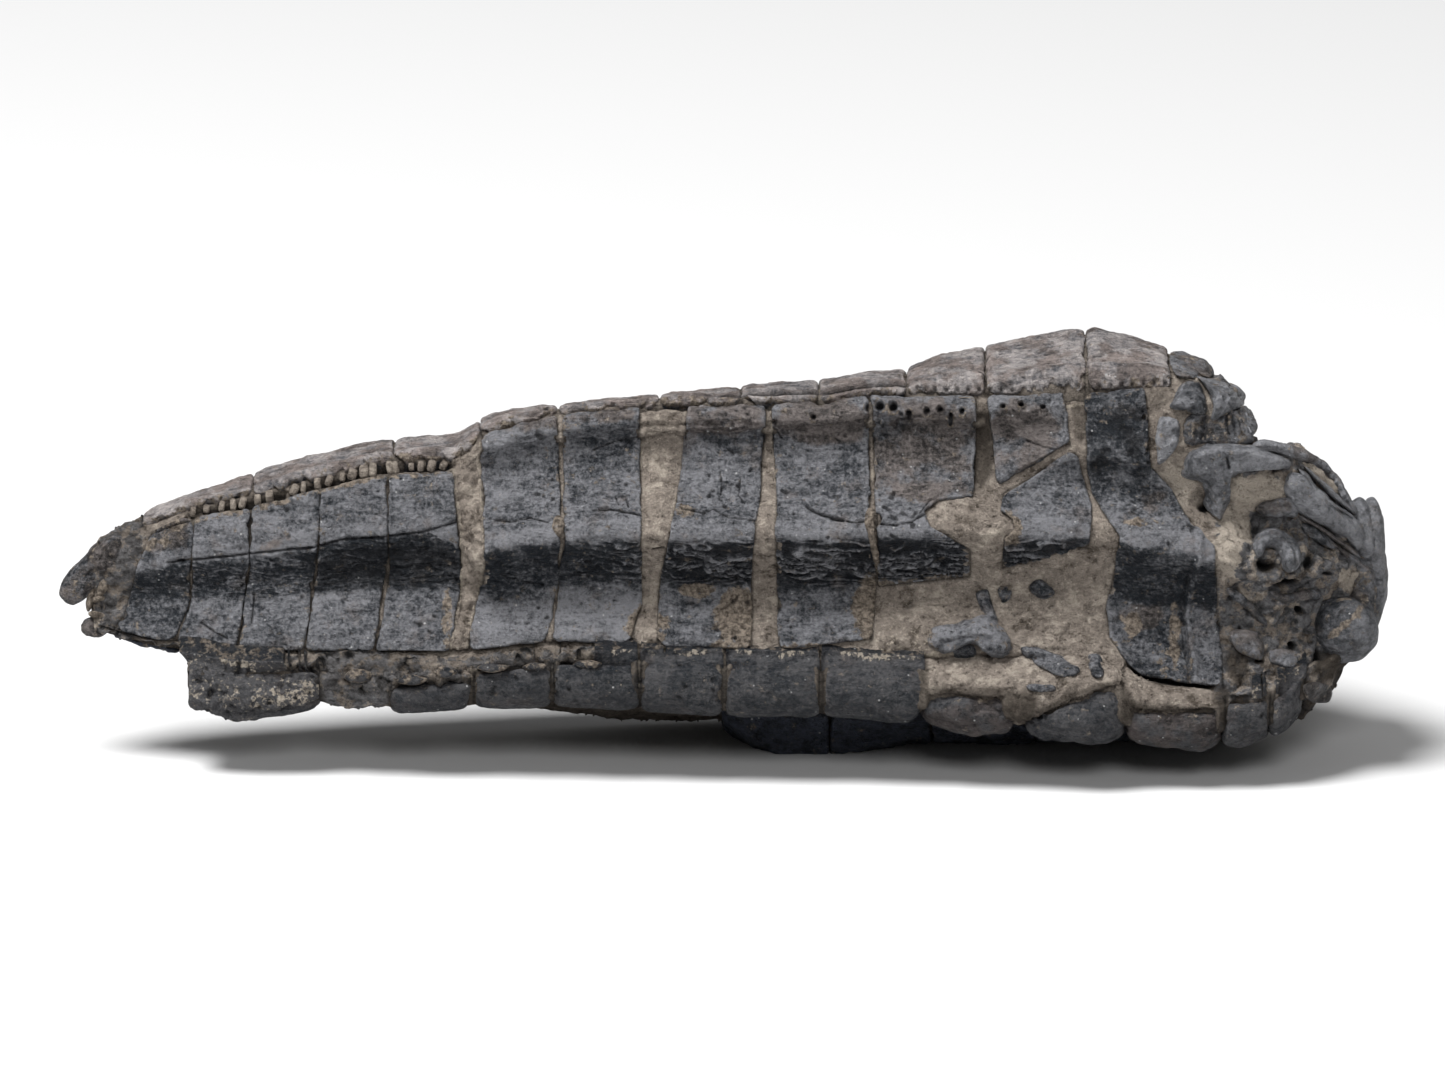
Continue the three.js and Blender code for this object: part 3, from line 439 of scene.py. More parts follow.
def ovals(rows, x, w):
    """The strongest of some oval patches at each point. Each row: middle, half sizes and strength."""
    return np.max([share * patch(x, w, at, half) for at, half, share in rows], axis=0)


def pit(x, w, at, half):
    """1 in a round-bottomed hole, 0 outside it."""
    return np.clip(1 - ((x - at[0]) / half[0]) ** 2 - ((w - at[1]) / half[1]) ** 2, 0, 1) ** 0.7


# --- the crown's surface
def section(arm, x, v):
    """Place along the chord and height over it, as shares of the chord."""
    stations = ARMS[arm]["sections"]
    places = [at for at, _ in stations]
    out = 0
    for k, (_, name) in enumerate(stations):
        share = np.interp(x, places, np.eye(len(places))[k])
        out = out + share[..., None] * through(SECTIONS[name], v)
    return out


def arm_face(arm, x, v):
    """Points (x, d, w) of the crown's outer face on an arm."""
    x, v = np.broadcast_arrays(np.asarray(x, float), np.asarray(v, float))
    first, second = (through(SEAMS[name], x) for name in ARMS[arm]["seams"])
    place = section(arm, x, v)
    raised = place[..., 1] * along(ARMS[arm]["relief"], x)
    cd, cw = second[..., 0] - first[..., 0], second[..., 1] - first[..., 1]
    return np.stack([
        x,
        first[..., 0] + cd * place[..., 0] - cw * raised,
        first[..., 1] + cw * place[..., 0] + cd * raised,
    ], axis=-1)


def walked_down(net):
    """Distance down a net's columns from its first row, or along a line from its first point."""
    steps = np.linalg.norm(np.diff(net, axis=0), axis=-1)
    return np.concatenate([np.zeros((1, *steps.shape[1:])), np.cumsum(steps, axis=0)])


def paced(arm, x, first, last, places):
    """v at places (0 to 1) of the way down an arm, by length over its face, and that length."""
    v = np.linspace(first, last, 500)
    walked = walked_down(arm_face(arm, x, v))
    return np.interp(np.asarray(places) * walked[-1], walked, v), walked[-1]


def inward(points):
    """Unit directions from points to the crown's axis, and the distances to it."""
    to_axis = through(AXIS, points[..., 0]) - points[..., 1:]
    reach = np.linalg.norm(to_axis, axis=-1)
    flat = np.zeros(points.shape)
    flat[..., 1:] = to_axis / reach[..., None]
    return flat, reach


def net_normals(net):
    """Outward unit normals of a net of points, from its neighbours."""
    normal = unit(np.cross(np.gradient(net, axis=0), np.gradient(net, axis=1)))
    to_axis, _ = inward(net)
    return normal * np.where(np.sum(normal * to_axis, axis=-1) > 0, -1, 1)[..., None]


DEPTH_X = np.linspace(TIP_END, CUP_END + CUP_CAP, 272)
DEPTH_W = np.linspace(-24.0, 24.0, 193)
_depth = []


def depth_at(x, w):
    """Depth d of the crown's face behind the points (x, w), as seen from the front."""
    if not _depth:
        table = []
        for station in DEPTH_X:
            inner = min(station, CUP_END)
            line = np.concatenate([
                arm_face("top", inner, np.linspace(0.45, 1, 60)),
                arm_face("front", inner, np.linspace(0, 1, 120)),
                arm_face("lower", inner, np.linspace(0, 0.62, 60)),
            ])
            shrink = math.sqrt(max(0.0, 1 - ((station - inner) / CUP_CAP) ** 2))
            centre = through(AXIS, inner)
            d, w_line = (centre + (line[:, 1:] - centre) * shrink).T
            falling = np.minimum.accumulate(w_line)
            table.append(np.interp(DEPTH_W, falling[::-1], d[::-1]))
        _depth.append(np.array(table))
    table = _depth[0]
    i = np.clip((x - DEPTH_X[0]) / (DEPTH_X[1] - DEPTH_X[0]), 0, len(DEPTH_X) - 1.001)
    j = np.clip((w - DEPTH_W[0]) / (DEPTH_W[1] - DEPTH_W[0]), 0, len(DEPTH_W) - 1.001)
    i0, j0 = np.floor(i).astype(int), np.floor(j).astype(int)
    fi, fj = i - i0, j - j0
    return (
        table[i0, j0] * (1 - fi) * (1 - fj) + table[i0 + 1, j0] * fi * (1 - fj)
        + table[i0, j0 + 1] * (1 - fi) * fj + table[i0 + 1, j0 + 1] * fi * fj
    )


def seated(points):
    """Working points in millimetres to the frame, in metres, and none below the surface it rests on."""
    roll = math.radians(SEAT["roll_deg"])
    x, d, w = points[..., 0], points[..., 1], points[..., 2]
    y = w * math.sin(roll) - d * math.cos(roll) + SEAT["y"]
    z = w * math.cos(roll) + d * math.sin(roll) + SEAT["z"]
    return np.stack([x + SEAT["x"], y, np.maximum(z, 0)], axis=-1) * MM


# --- meshes
# Masks kept on each piece: its own wear, sand, crusts and stains, and painted light and shade. The dark mask of the
# hollows is painted shade, and the pale mask holds painted highlights and shade besides the stone's own tone.
WEAR_AND_SHADE = ("pale", "sand", "hollow", "cream", "wrinkle", "warm", "open")


def make_piece(name, points, faces, wear_and_shade, material):
    """A closed piece from working points, with its masks of wear and of painted light and shade as attributes, facing
    out.
    """
    mesh = bpy.data.meshes.new(name)
    mesh.from_pydata(seated(points).tolist(), [], faces)
    bm = bmesh.new()
    bm.from_mesh(mesh)
    if bm.calc_volume(signed=True) < 0:
        bmesh.ops.reverse_faces(bm, faces=bm.faces)
    bm.to_mesh(mesh)
    bm.free()
    mesh.polygons.foreach_set("use_smooth", [True] * len(mesh.polygons))
    for key in WEAR_AND_SHADE:
        values = np.clip(np.broadcast_to(wear_and_shade.get(key, 0.0), len(points)), 0, 1)
        mesh.attributes.new(key, "FLOAT", "POINT").data.foreach_set("value", values.astype(np.float32))
    mesh.materials.append(material)
    piece = bpy.data.objects.new(name, mesh)
    bpy.context.collection.objects.link(piece)
    return piece


def settle(piece, node=None):
    """Hides the CAD node that a piece stands for, if it has one, and attaches the piece to the root body."""
    if node:
        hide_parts(node)
    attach(piece, "root")


def border_loop(rows, columns):
    """The (row, column) places round a net's border."""
    loop = [(0, j) for j in range(columns)] + [(i, columns - 1) for i in range(1, rows)]
    loop += [(rows - 1, j) for j in range(columns - 2, -1, -1)]
    return loop + [(i, 0) for i in range(rows - 2, 0, -1)]


def slab(outer, skirts):
    """Points and faces of a closed slab: an outer net, rings of its border going down, and a floor."""
    rows, columns = outer.shape[:2]
    count = rows * columns
    loop = border_loop(rows, columns)
    ring_of = {place: k for k, place in enumerate(loop)}
    size = len(loop)
    index = np.arange(count).reshape(rows, columns)
    a, b, c, d = index[:-1, :-1], index[1:, :-1], index[1:, 1:], index[:-1, 1:]
    faces = np.stack([a, b, c, d], axis=-1).reshape(-1, 4).tolist()
    upper = [index[i, j] for i, j in loop]
    for k in range(len(skirts)):
        lower = [count + k * size + n for n in range(size)]
        for n in range(size):
            m = (n + 1) % size
            faces.append([int(upper[n]), int(upper[m]), lower[m], lower[n]])
        upper = lower

    def at(i, j):
        return int(upper[ring_of[(i, j)]])

    faces.append([at(0, j) for j in range(columns)] + [at(1, columns - 1), at(1, 0)])
    for i in range(1, rows - 2):
        faces.append([at(i, 0), at(i, columns - 1), at(i + 1, columns - 1), at(i + 1, 0)])
    faces.append([at(rows - 2, 0), at(rows - 2, columns - 1)] + [at(rows - 1, j) for j in range(columns - 1, -1, -1)])
    return np.concatenate([outer.reshape(-1, 3), *skirts]), faces


def ring_sides(rings, spokes):
    """Faces between closed rings, with the index of each point and of the next one round its ring."""
    index = np.arange(rings * spokes).reshape(rings, spokes)
    after = np.roll(index, -1, axis=1)
    faces = np.stack([index[:-1], index[1:], after[1:], after[:-1]], axis=-1).reshape(-1, 4).tolist()
    return faces, index, after


def rings_to_faces(rings, spokes):
    """Faces of a stack of closed rings, with its first and last ring filled."""
    faces, index, _ = ring_sides(rings, spokes)
    return faces + [index[0][::-1].tolist(), index[-1].tolist()]


EDGE_LINES = (0.0, 0.04, 0.1, 0.18, 0.3)  # distances of the first mesh lines from a plate's border
SKIRT_DEPTHS = (0.25, 0.7, 1.4, 2.4)
THIN_SHARE = 0.38  # of the way to the axis that the deepest skirt may go
SUTURE_FILL = 0.1  # how far a plate reaches past its drawn cross edge


def spread(length, step):
    """Places from 0 to 1 along a length: close together at both ends, a step apart between them."""
    fine = np.array(EDGE_LINES)
    if length < 4 * fine[-1]:
        return np.linspace(0, 1, max(4, int(length / step) + 2))
    middle = np.linspace(fine[-1], length - fine[-1], max(3, int((length - 2 * fine[-1]) / step) + 1))
    return np.concatenate([fine[:-1], middle, length - fine[:-1][::-1]]) / length


def corner_pull(distance, radius):
    """How far an edge draws in near a corner that is that distance away."""
    u = np.clip(1 - distance / radius, 0, 1)
    return radius * (1 - np.sqrt(np.maximum(0, 1 - u * u)))


def plate_net(arm, plate, step, seed):
    """A plate's outer net before its relief, with v and each point's distance from the border."""
    (l0, l1), (r0, r1) = plate["across"]
    middle_x = (along(plate["left"], (l0 + l1) / 2) + along(plate["right"], (r0 + r1) / 2)) / 2
    first, last = (l0 + r0) / 2, (l1 + r1) / 2
    _, width = paced(arm, middle_x, first, last, [0, 1])
    length = abs(along(plate["right"], (r0 + r1) / 2) - along(plate["left"], (l0 + l1) / 2))
    s = spread(width, step)[:, None]
    t = spread(length, step)[None, :]
    v_middle, _ = paced(arm, middle_x, first, last, s[:, 0])
    share = ((v_middle - first) / (last - first))[:, None]
    # The long edges wander a little, and here and there a chip is gone from a cross edge.
    x_guess = (middle_x + (t - 0.5) * length).T
    lines = np.concatenate([x_guess, np.full_like(x_guess, seed), np.zeros_like(x_guess)], axis=1)
    start, end = (np.maximum(0, 0.2 * rubble(lines, 1.5, 3, seed + key) / width)[None, :] for key in (1, 2))
    vl = l0 + (l1 - l0) * (share + start * (1 - s) - end * s)
    vr = r0 + (r1 - r0) * (share + start * (1 - s) - end * s)
    v = vl + (vr - vl) * t
    down = s * width
    ends = np.minimum(down, width - down)
    cuts = []
    for key in (3, 4):
        rows = np.concatenate([down, np.full_like(down, seed * 3.7), np.zeros_like(down)], axis=1)
        wobble = 0.14 * rubble(rows, 1.9, 4, seed + key)
        chip = 1.5 * np.maximum(0, grain(rows, 1.5, seed + 9 + key) - 0.6)
        cuts.append((wobble + chip)[:, None] + corner_pull(ends, plate["corner"]) - SUTURE_FILL)
    xl = along(plate["left"], vl) + cuts[0]
    xr = along(plate["right"], vr) - cuts[1]
    x = xl + (xr - xl) * t
    net = arm_face(arm, x, v)
    near = np.stack(np.broadcast_arrays(down, width - down, t * (xr - xl), (1 - t) * (xr - xl)))
    border = np.sum(np.maximum(near, 1e-3) ** -4.0, axis=0) ** -0.25
    return net, v, border


def skirts_below(outer, seed):
    """Rings of points under a plate's border, towards the crown's axis."""
    loop = border_loop(*outer.shape[:2])
    edge = np.array([outer[i, j] for i, j in loop])
    to_axis, reach = inward(edge)
    middle = outer[outer.shape[0] // 2, outer.shape[1] // 2]
    rings = []
    for depth in SKIRT_DEPTHS:
        sunk = np.minimum(depth, reach * THIN_SHARE * depth / SKIRT_DEPTHS[-1])[:, None]
        ring = edge + to_axis * sunk
        pull = 0.04 * depth + 0.06 * rubble(ring, 0.9, 2, seed)
        rings.append(ring + unit(middle - ring) * pull[:, None])
    return rings


# A plate's sides and floor are darkened as painted shade where they show in the gaps, with a little sand.
SIDE_WEAR_AND_SHADE = {"pale": 0.15, "sand": 0.3, "hollow": 0.35, "wrinkle": 0.3}


def close_plate(name, outer, wear_and_shade, side_wear_and_shade, material, seed):
    """The closed piece under an outer net, with the given wear and painted shade on its sides and floor."""
    points, faces = slab(outer, skirts_below(outer, seed))
    below = len(points) - outer[..., 0].size
    masks = {}
    for key in WEAR_AND_SHADE:
        face = np.broadcast_to(wear_and_shade.get(key, 0.0), outer.shape[:2]).ravel()
        masks[key] = np.concatenate([face, np.full(below, side_wear_and_shade.get(key, 0.0))])
    return make_piece(name, points, faces, masks, material)


def finish_plate(name, net, border, height, wear_and_shade, edge_radius, material, seed):
    """Raises the relief on a net, rounds its border, closes it and makes the piece."""
    e = np.clip(border / edge_radius, 0, 1)
    drop = edge_radius * (1 - np.sqrt(np.maximum(0, 1 - (1 - e) ** 2)))
    outer = net + net_normals(net) * (height - drop)[..., None]
    return close_plate(name, outer, wear_and_shade, SIDE_WEAR_AND_SHADE, material, seed)


# --- node trees
class Nodes:
    """A node tree, built one node at a time."""

    def add(self, kind, values=(), **settings):
        """A new node with its settings, and a number, colour or link in each input that values names."""
        node = self.tree.nodes.new(kind)
        for key, value in settings.items():
            setattr(node, key, value)
        for key, value in dict(values).items():
            self.put(node.inputs[key], value)
        return node

    def put(self, socket, value):
        if isinstance(value, bpy.types.NodeSocket):
            self.tree.links.new(value, socket)
        elif socket.type == "RGBA":
            socket.default_value = (*value, 1)
        else:
            socket.default_value = value


SHADER_INPUTS = {
    "colour": "Base Color", "roughness": "Roughness", "shine": "Specular IOR Level", "normal": "Normal"}


class Recipe(Nodes):
    """A material's node tree."""

    def __init__(self, name):
        self.material = bpy.data.materials.new(name)
        self.material.use_nodes = True
        self.tree = self.material.node_tree
        self.shader = self.tree.nodes["Principled BSDF"]
        self.place = self.add("ShaderNodeTexCoord").outputs["Object"]

    def scaled_place(self, size_mm, stretch=(1, 1, 1)):
        scale = tuple(k / (size_mm * MM) for k in stretch)
        return self.add("ShaderNodeMapping", {"Vector": self.place, "Scale": scale}).outputs["Vector"]

    def noise(self, lump_mm, detail=3.0, rough=0.55, stretch=(1, 1, 1)):
        """Noise with lumps of that size, from 0 to 1."""
        place = self.scaled_place(lump_mm, stretch)
        values = {"Vector": place, "Scale": 1.0, "Detail": detail, "Roughness": rough}
        return self.add("ShaderNodeTexNoise", values).outputs["Fac"]

    def cells(self, size_mm):
        """Distance to the middle of the nearest of many cells."""
        values = {"Vector": self.scaled_place(size_mm), "Scale": 1.0}
        return self.add("ShaderNodeTexVoronoi", values).outputs["Distance"]

    def wear_and_shade(self, key):
        return self.add("ShaderNodeAttribute", attribute_name=key).outputs["Fac"]

    def sum(self, a, b, how="ADD"):
        return self.add("ShaderNodeMath", {0: a, 1: b}, operation=how).outputs[0]

    def fit(self, value, low, high, to_low=0.0, to_high=1.0):
        """value from low..high to to_low..to_high, smooth and held at its ends."""
        values = {"Value": value, "From Min": low, "From Max": high, "To Min": to_low, "To Max": to_high}
        return self.add("ShaderNodeMapRange", values, interpolation_type="SMOOTHSTEP").outputs["Result"]

    def swing(self, value, reach, spread=0.2):
        """Noise as a value that swings from -reach to reach."""
        return self.fit(value, 0.5 - spread, 0.5 + spread, -reach, reach)

    def mix(self, share, a, b):
        return self.add("ShaderNodeMix", {0: share, 6: a, 7: b}, data_type="RGBA", clamp_factor=True).outputs[2]

    def finish(self, **values):
        """Sets the shader's inputs and gives the material."""
        for key, value in values.items():
            self.put(self.shader.inputs[SHADER_INPUTS[key]], value)
        return self.material

    def bump(self, height, depth_mm, onto=None):
        values = {"Strength": 1.0, "Distance": depth_mm * MM, "Height": height}
        if onto is not None:
            values["Normal"] = onto
        return self.add("ShaderNodeBump", values).outputs["Normal"]


# Colours that do not change from stone to stone.
# The first two are painted shade: near black for the cracks, pits, slits and gaps of the calcite and of the sandstone.
HOLLOW_SHADE_BLACK, DEEP_SHADE = (0.003, 0.003, 0.004), (0.005, 0.005, 0.005)
SPECK_GREY, MATRIX_GREY = (0.5, 0.5, 0.5), (0.14, 0.138, 0.142)
FILM_DARK, FILM_LIGHT = (0.07, 0.055, 0.043), (0.34, 0.285, 0.23)
CRUST_DARK, CRUST_LIGHT = (0.2, 0.16, 0.12), (0.7, 0.63, 0.53)
TOP_TINT, LOWER_TINT, UNDER_TINT = (0.15, 0.125, 0.115), (0.05, 0.042, 0.04), (0.026, 0.025, 0.03)


def shade(colour, k):
    return tuple(k * value for value in colour)


def calcite(name, dark, grey, tint, speckled=1.0, shine=0.22):
    """Dark calcite, brushed, specked and pitted: blue-black to grey as its pale mask says, which holds painted light
    and shade besides the stone's own tone, and painted black shade in its hollows.
    """
    r = Recipe(name)
    lumps = r.noise(1.4, 5, 0.66)
    fine = r.noise(0.42, 6, 0.76)
    brush = r.noise(0.8, 6, 0.74, stretch=(0.3, 1, 1))
    cloud = r.noise(5.5, 4, 0.6)
    local = r.sum(r.swing(lumps, 0.16), r.swing(fine, 0.5 * speckled))
    local = r.sum(local, r.swing(brush, 0.34 * speckled))
    # The pale mask holds painted highlights and painted shade, from keels, ridge crests, flanks and the relief, besides
    # the stone's own tone.
    tone = r.sum(r.wear_and_shade("pale"), r.sum(local, r.swing(cloud, 0.22)))
    level = r.fit(tone, -0.2, 1.4)
    stone = r.mix(level, dark, grey)
    stain = r.sum(r.wear_and_shade("warm"), r.swing(r.noise(3.0, 5, 0.65), 0.5))
    stone = r.mix(r.fit(stain, 0.2, 0.75, 0.0, 0.9), stone, r.mix(level, shade(tint, 0.25), shade(tint, 2.3)))
    bright = r.sum(r.fit(fine, 0.58, 0.76, 0.0, 0.6), r.fit(tone, 0.1, 0.6), "MULTIPLY")
    stone = r.mix(bright, stone, shade(grey, 1.35))
    stone = r.mix(r.fit(r.sum(fine, brush, "MULTIPLY"), 0.18, 0.1, 0.0, 0.85), stone, shade(dark, 0.5))
    speck = r.fit(r.cells(1.1), 0.14, 0.05)
    stone = r.mix(r.sum(speck, r.fit(lumps, 0.5, 0.56), "MULTIPLY"), stone, SPECK_GREY)
    film = r.sum(r.wear_and_shade("sand"), r.swing(r.noise(1.1, 6, 0.72), 0.6, 0.25))
    sand = r.mix(r.fit(r.noise(0.5, 5, 0.7), 0.35, 0.65), FILM_DARK, FILM_LIGHT)
    stone = r.mix(r.fit(film, 0.36, 0.6), stone, sand)
    crust = r.sum(r.wear_and_shade("cream"), r.swing(r.noise(0.5, 5, 0.72), 0.55, 0.25))
    stone = r.mix(r.fit(crust, 0.4, 0.62), stone, r.mix(fine, CRUST_DARK, CRUST_LIGHT))
    # Painted shade: near black in the cracks, pits, holes and gaps that the hollow mask marks.
    stone = r.mix(r.wear_and_shade("hollow"), stone, HOLLOW_SHADE_BLACK)
    pores = r.sum(r.fit(r.cells(0.6), 0.28, 0.05), r.fit(r.noise(2.4, 3, 0.5), 0.46, 0.6), "MULTIPLY")
    coarse = r.bump(r.sum(lumps, brush), 0.9)
    worn = r.bump(r.sum(fine, r.sum(pores, 0.7, "MULTIPLY"), "SUBTRACT"), 0.7, coarse)
    worm = r.sum(r.noise(0.5, 3, 0.6, stretch=(0.25, 1, 1)), r.wear_and_shade("wrinkle"), "MULTIPLY")
    roughness = r.fit(lumps, 0.3, 0.7, 0.34, 0.56)
    return r.finish(colour=stone, roughness=roughness, shine=shine, normal=r.bump(worm, 0.8, worn))


def sandstone(name, deep, body, light, stone_grey):
    """Brown fine sandstone: streaked along the bed, gritty, with paler crusts and grey stone bits."""
    r = Recipe(name)
    bed = r.noise(1.3, 6, 0.72, stretch=(0.7, 1, 1))
    cloud = r.noise(4.5, 6, 0.7)
    grit = r.noise(0.4, 6, 0.76)
    lumps = r.noise(0.85, 5, 0.68, stretch=(0.7, 1, 1))
    tone = r.sum(r.fit(bed, 0.3, 0.7, 0.0, 0.4), r.fit(cloud, 0.35, 0.65, 0.0, 0.4))
    tone = r.sum(tone, r.fit(lumps, 0.3, 0.7, -0.1, 0.3))
    tone = r.sum(tone, r.sum(r.wear_and_shade("sand"), 0.5, "MULTIPLY"))
    stone = r.mix(r.fit(tone, 0.05, 0.5), deep, body)
    stone = r.mix(r.fit(tone, 0.5, 0.95), stone, light)
    stone = r.mix(r.fit(grit, 0.54, 0.74, 0.0, 0.8), stone, shade(light, 1.5))
    stone = r.mix(r.fit(r.sum(grit, lumps, "MULTIPLY"), 0.21, 0.11, 0.0, 0.85), stone, shade(deep, 0.3))
    grey = r.sum(r.wear_and_shade("pale"), r.swing(r.noise(1.6, 6, 0.72), 0.5, 0.25))
    dark_bits = r.mix(r.fit(lumps, 0.3, 0.7), shade(stone_grey, 0.35), shade(stone_grey, 1.7))
    stone = r.mix(r.fit(grey, 0.38, 0.62), stone, dark_bits)
    crust = r.sum(r.wear_and_shade("cream"), r.swing(r.noise(0.5, 5, 0.72), 0.5, 0.25))
    stone = r.mix(r.fit(crust, 0.4, 0.65), stone, r.mix(grit, CRUST_DARK, (0.68, 0.61, 0.51)))
    # Deep brown where the warm mask says: partly the sandstone's own darker beds, partly painted shade in the hollows,
    # gaps and socket trench.
    stone = r.mix(r.sum(r.wear_and_shade("warm"), 0.85, "MULTIPLY"), stone, r.mix(grit, shade(deep, 0.12), shade(deep, 0.8)))
    stone = r.mix(r.wear_and_shade("hollow"), stone, DEEP_SHADE)
    grainy = r.bump(r.sum(grit, r.sum(r.cells(0.3), 0.3, "MULTIPLY")), 0.5, r.bump(lumps, 1.4))
    return r.finish(colour=stone, roughness=r.fit(grit, 0.2, 0.8, 0.8, 0.98), shine=0.1, normal=grainy)


# --- what a user can change
def length_setting(name, description, default_mm, min_mm=0.1, max_mm=1):
    return FloatProperty(
        name=name, description=description, default=default_mm * MM, min=min_mm * MM, max=max_mm * MM, precision=5,
        unit="LENGTH")


def colour_setting(name, description, default):
    return FloatVectorProperty(name=name, description=description, subtype="COLOR", size=3, default=default)


class CrownSizes(bpy.types.PropertyGroup):
    front_step: length_setting("Front mesh step", "Distance between mesh lines on the front arm", 0.135)
    side_step: length_setting("Side mesh step", "Distance between mesh lines on the top and lower arms", 0.2, max_mm=2)
    hidden_step: length_setting(
        "Rear mesh step", "Distance between mesh lines on the rear and under arms", 0.3, max_mm=2)
    edge_radius: length_setting("Edge radius", "Radius of a plate's worn edge", 0.26, 0.05)
    wrinkle_height: length_setting(
        "Wrinkle height", "Height of the winding ridges under the front arm's keel", 0.26, 0, 0.6)
    matrix_level: length_setting("Matrix level", "How far the sandstone lies below the plates' faces", 0.6, 0, 1.5)
    grain_radius: length_setting("Grain radius", "Radius of the largest coarse grains on the sandstone", 0.24, 0.05)
    grain_density: FloatProperty(
        name="Grains per square millimetre", description="Coarse grains that stand out of the open sandstone",
        default=0.42, min=0, max=4)
    socket_height: length_setting("Socket height", "Half height of the walls between the seam's small sockets", 0.56)
    socket_wall: length_setting(
        "Socket wall", "Half thickness of the walls between the seam's small sockets", 0.36, 0.05, 0.5)
    seed: IntProperty(name="Seed", description="Changes the random details", default=4, min=0)


class CrownColours(bpy.types.PropertyGroup):
    # The dark colour shows where the pale mask is low, so it also stands for painted shade; the top, lower and under
    # arms' colours are partly painted light and shade.
    plate_dark: colour_setting("Plate, dark", "Blue-black calcite in the hollows", (0.0133, 0.0170, 0.0224))
    plate_grey: colour_setting("Plate, grey", "Grey calcite on the ridges", (0.26, 0.262, 0.28))
    plate_tint: colour_setting("Plate, brown tint", "Brown stain on the calcite", (0.1, 0.086, 0.08))
    top_grey: colour_setting("Top arm, grey", "Grey-brown calcite of the top arm", (0.6, 0.545, 0.525))
    lower_grey: colour_setting("Lower arm, grey", "Dark calcite of the lower arm", (0.1, 0.098, 0.102))
    under_grey: colour_setting("Under arm, grey", "Blue-black calcite of the under arm", (0.075, 0.085, 0.115))
    sand_deep: colour_setting("Sandstone, deep", "Darkest beds of the sandstone", (0.1, 0.082, 0.066))
    sand_body: colour_setting("Sandstone", "Main colour of the sandstone", (0.28, 0.24, 0.205))
    sand_light: colour_setting("Sandstone, light", "Palest beds of the sandstone", (0.48, 0.42, 0.355))


class StageSettings(bpy.types.PropertyGroup):
    floor_colour: colour_setting("Floor", "Colour of the floor", (0.62, 0.62, 0.62))
    key_power: FloatProperty(
        name="Top light", description="Power of the soft light overhead", default=22.5, min=0)
    front_power: FloatProperty(
        name="Front light", description="Power of the weak light in front", default=11.0, min=0)
    room_light: FloatProperty(
        name="Room light", description="Strength of the even light of the room", default=0.2, min=0)
    frame_width: FloatProperty(
        name="Frame width", description="Width of the view at the crown", default=152.1 * MM, unit="LENGTH")
    distance: FloatProperty(
        name="Camera distance", description="Distance from the camera to the crown", default=2.2, unit="LENGTH")


def sizes():
    return bpy.context.scene.crown_sizes


def first_seed(kind):
    return sizes().seed + FIRST_SEED[kind]


def in_mm(key):
    return getattr(sizes(), key) / MM


_materials = {}


def finish_for(part):
    """The stone of an arm, the cup or the matrix, made once."""
    if part in _materials:
        return _materials[part]
    c = bpy.context.scene.crown_colours
    dark, grey = c.plate_dark, c.plate_grey
    # The top arm is lighter and the lower and under arms darker than the front: partly their own colour, partly painted
    # light on the arm that faces up and painted shade on those that face down.
    tones = {
        "top": (shade(dark, 2.6), shade(c.top_grey, 0.92), TOP_TINT, 0.55),
        "lower": (dark, c.lower_grey, LOWER_TINT),
        "under": (shade(dark, 0.7), c.under_grey, UNDER_TINT),
        "cup": (shade(dark, 0.9), shade(grey, 1.3), c.plate_tint, 0.55, 0.4),
    }
    if part == "matrix":
        stone = sandstone("brown sandstone", c.sand_deep, c.sand_body, c.sand_light, MATRIX_GREY)
    else:
        name = "cup calcite" if part == "cup" else f"{part} arm calcite"
        stone = calcite(name, *tones.get(part, (dark, grey, c.plate_tint)))
    _materials[part] = stone
    return stone


# --- plates
def worn_and_shaded_face(net, border, seed, rough=1.0):
    """Relief and wear that every calcite plate has: swells, small lumps and scattered pits, with painted light and
    shade: the lumps paler where they stand high and darker in their dips, and the pits painted dark.
    """
    swell = 0.16 * rubble(net, 5.2, 3, seed)
    lumps = rough * (0.09 * rubble(net, 1.3, 3, seed + 3) + 0.05 * rubble(net, 0.5, 2, seed + 4))
    lumps += rough * 0.06 * rubble(net, (2.4, 0.6, 0.6), 2, seed + 7)
    pits = ramp(0.6, 0.85, grain(net, 0.62, seed + 5)) * ramp(0.0, 0.4, grain(net, 4, seed + 6))
    height = swell + lumps - 0.14 * pits
    # Painted light and shade: the colour follows the lumps' height, paler on top and darker in the dips.
    pale = 0.63 + 1.5 * lumps + 0.12 * rubble(net, 3.4, 2, seed + 13)
    pale += 0.35 * bell(border, 0.22, 0.14) * (0.4 + grain(net, 2, seed + 15))
    sand = 0.12 * ramp(0.5, 0.05, border) + 0.06 * np.maximum(0, rubble(net, 2.8, 2, seed + 17))
    # The pits are painted dark as shade.
    return height, {"pale": pale, "sand": sand, "hollow": 0.85 * pits, "wrinkle": 0.3, "warm": 0.0}


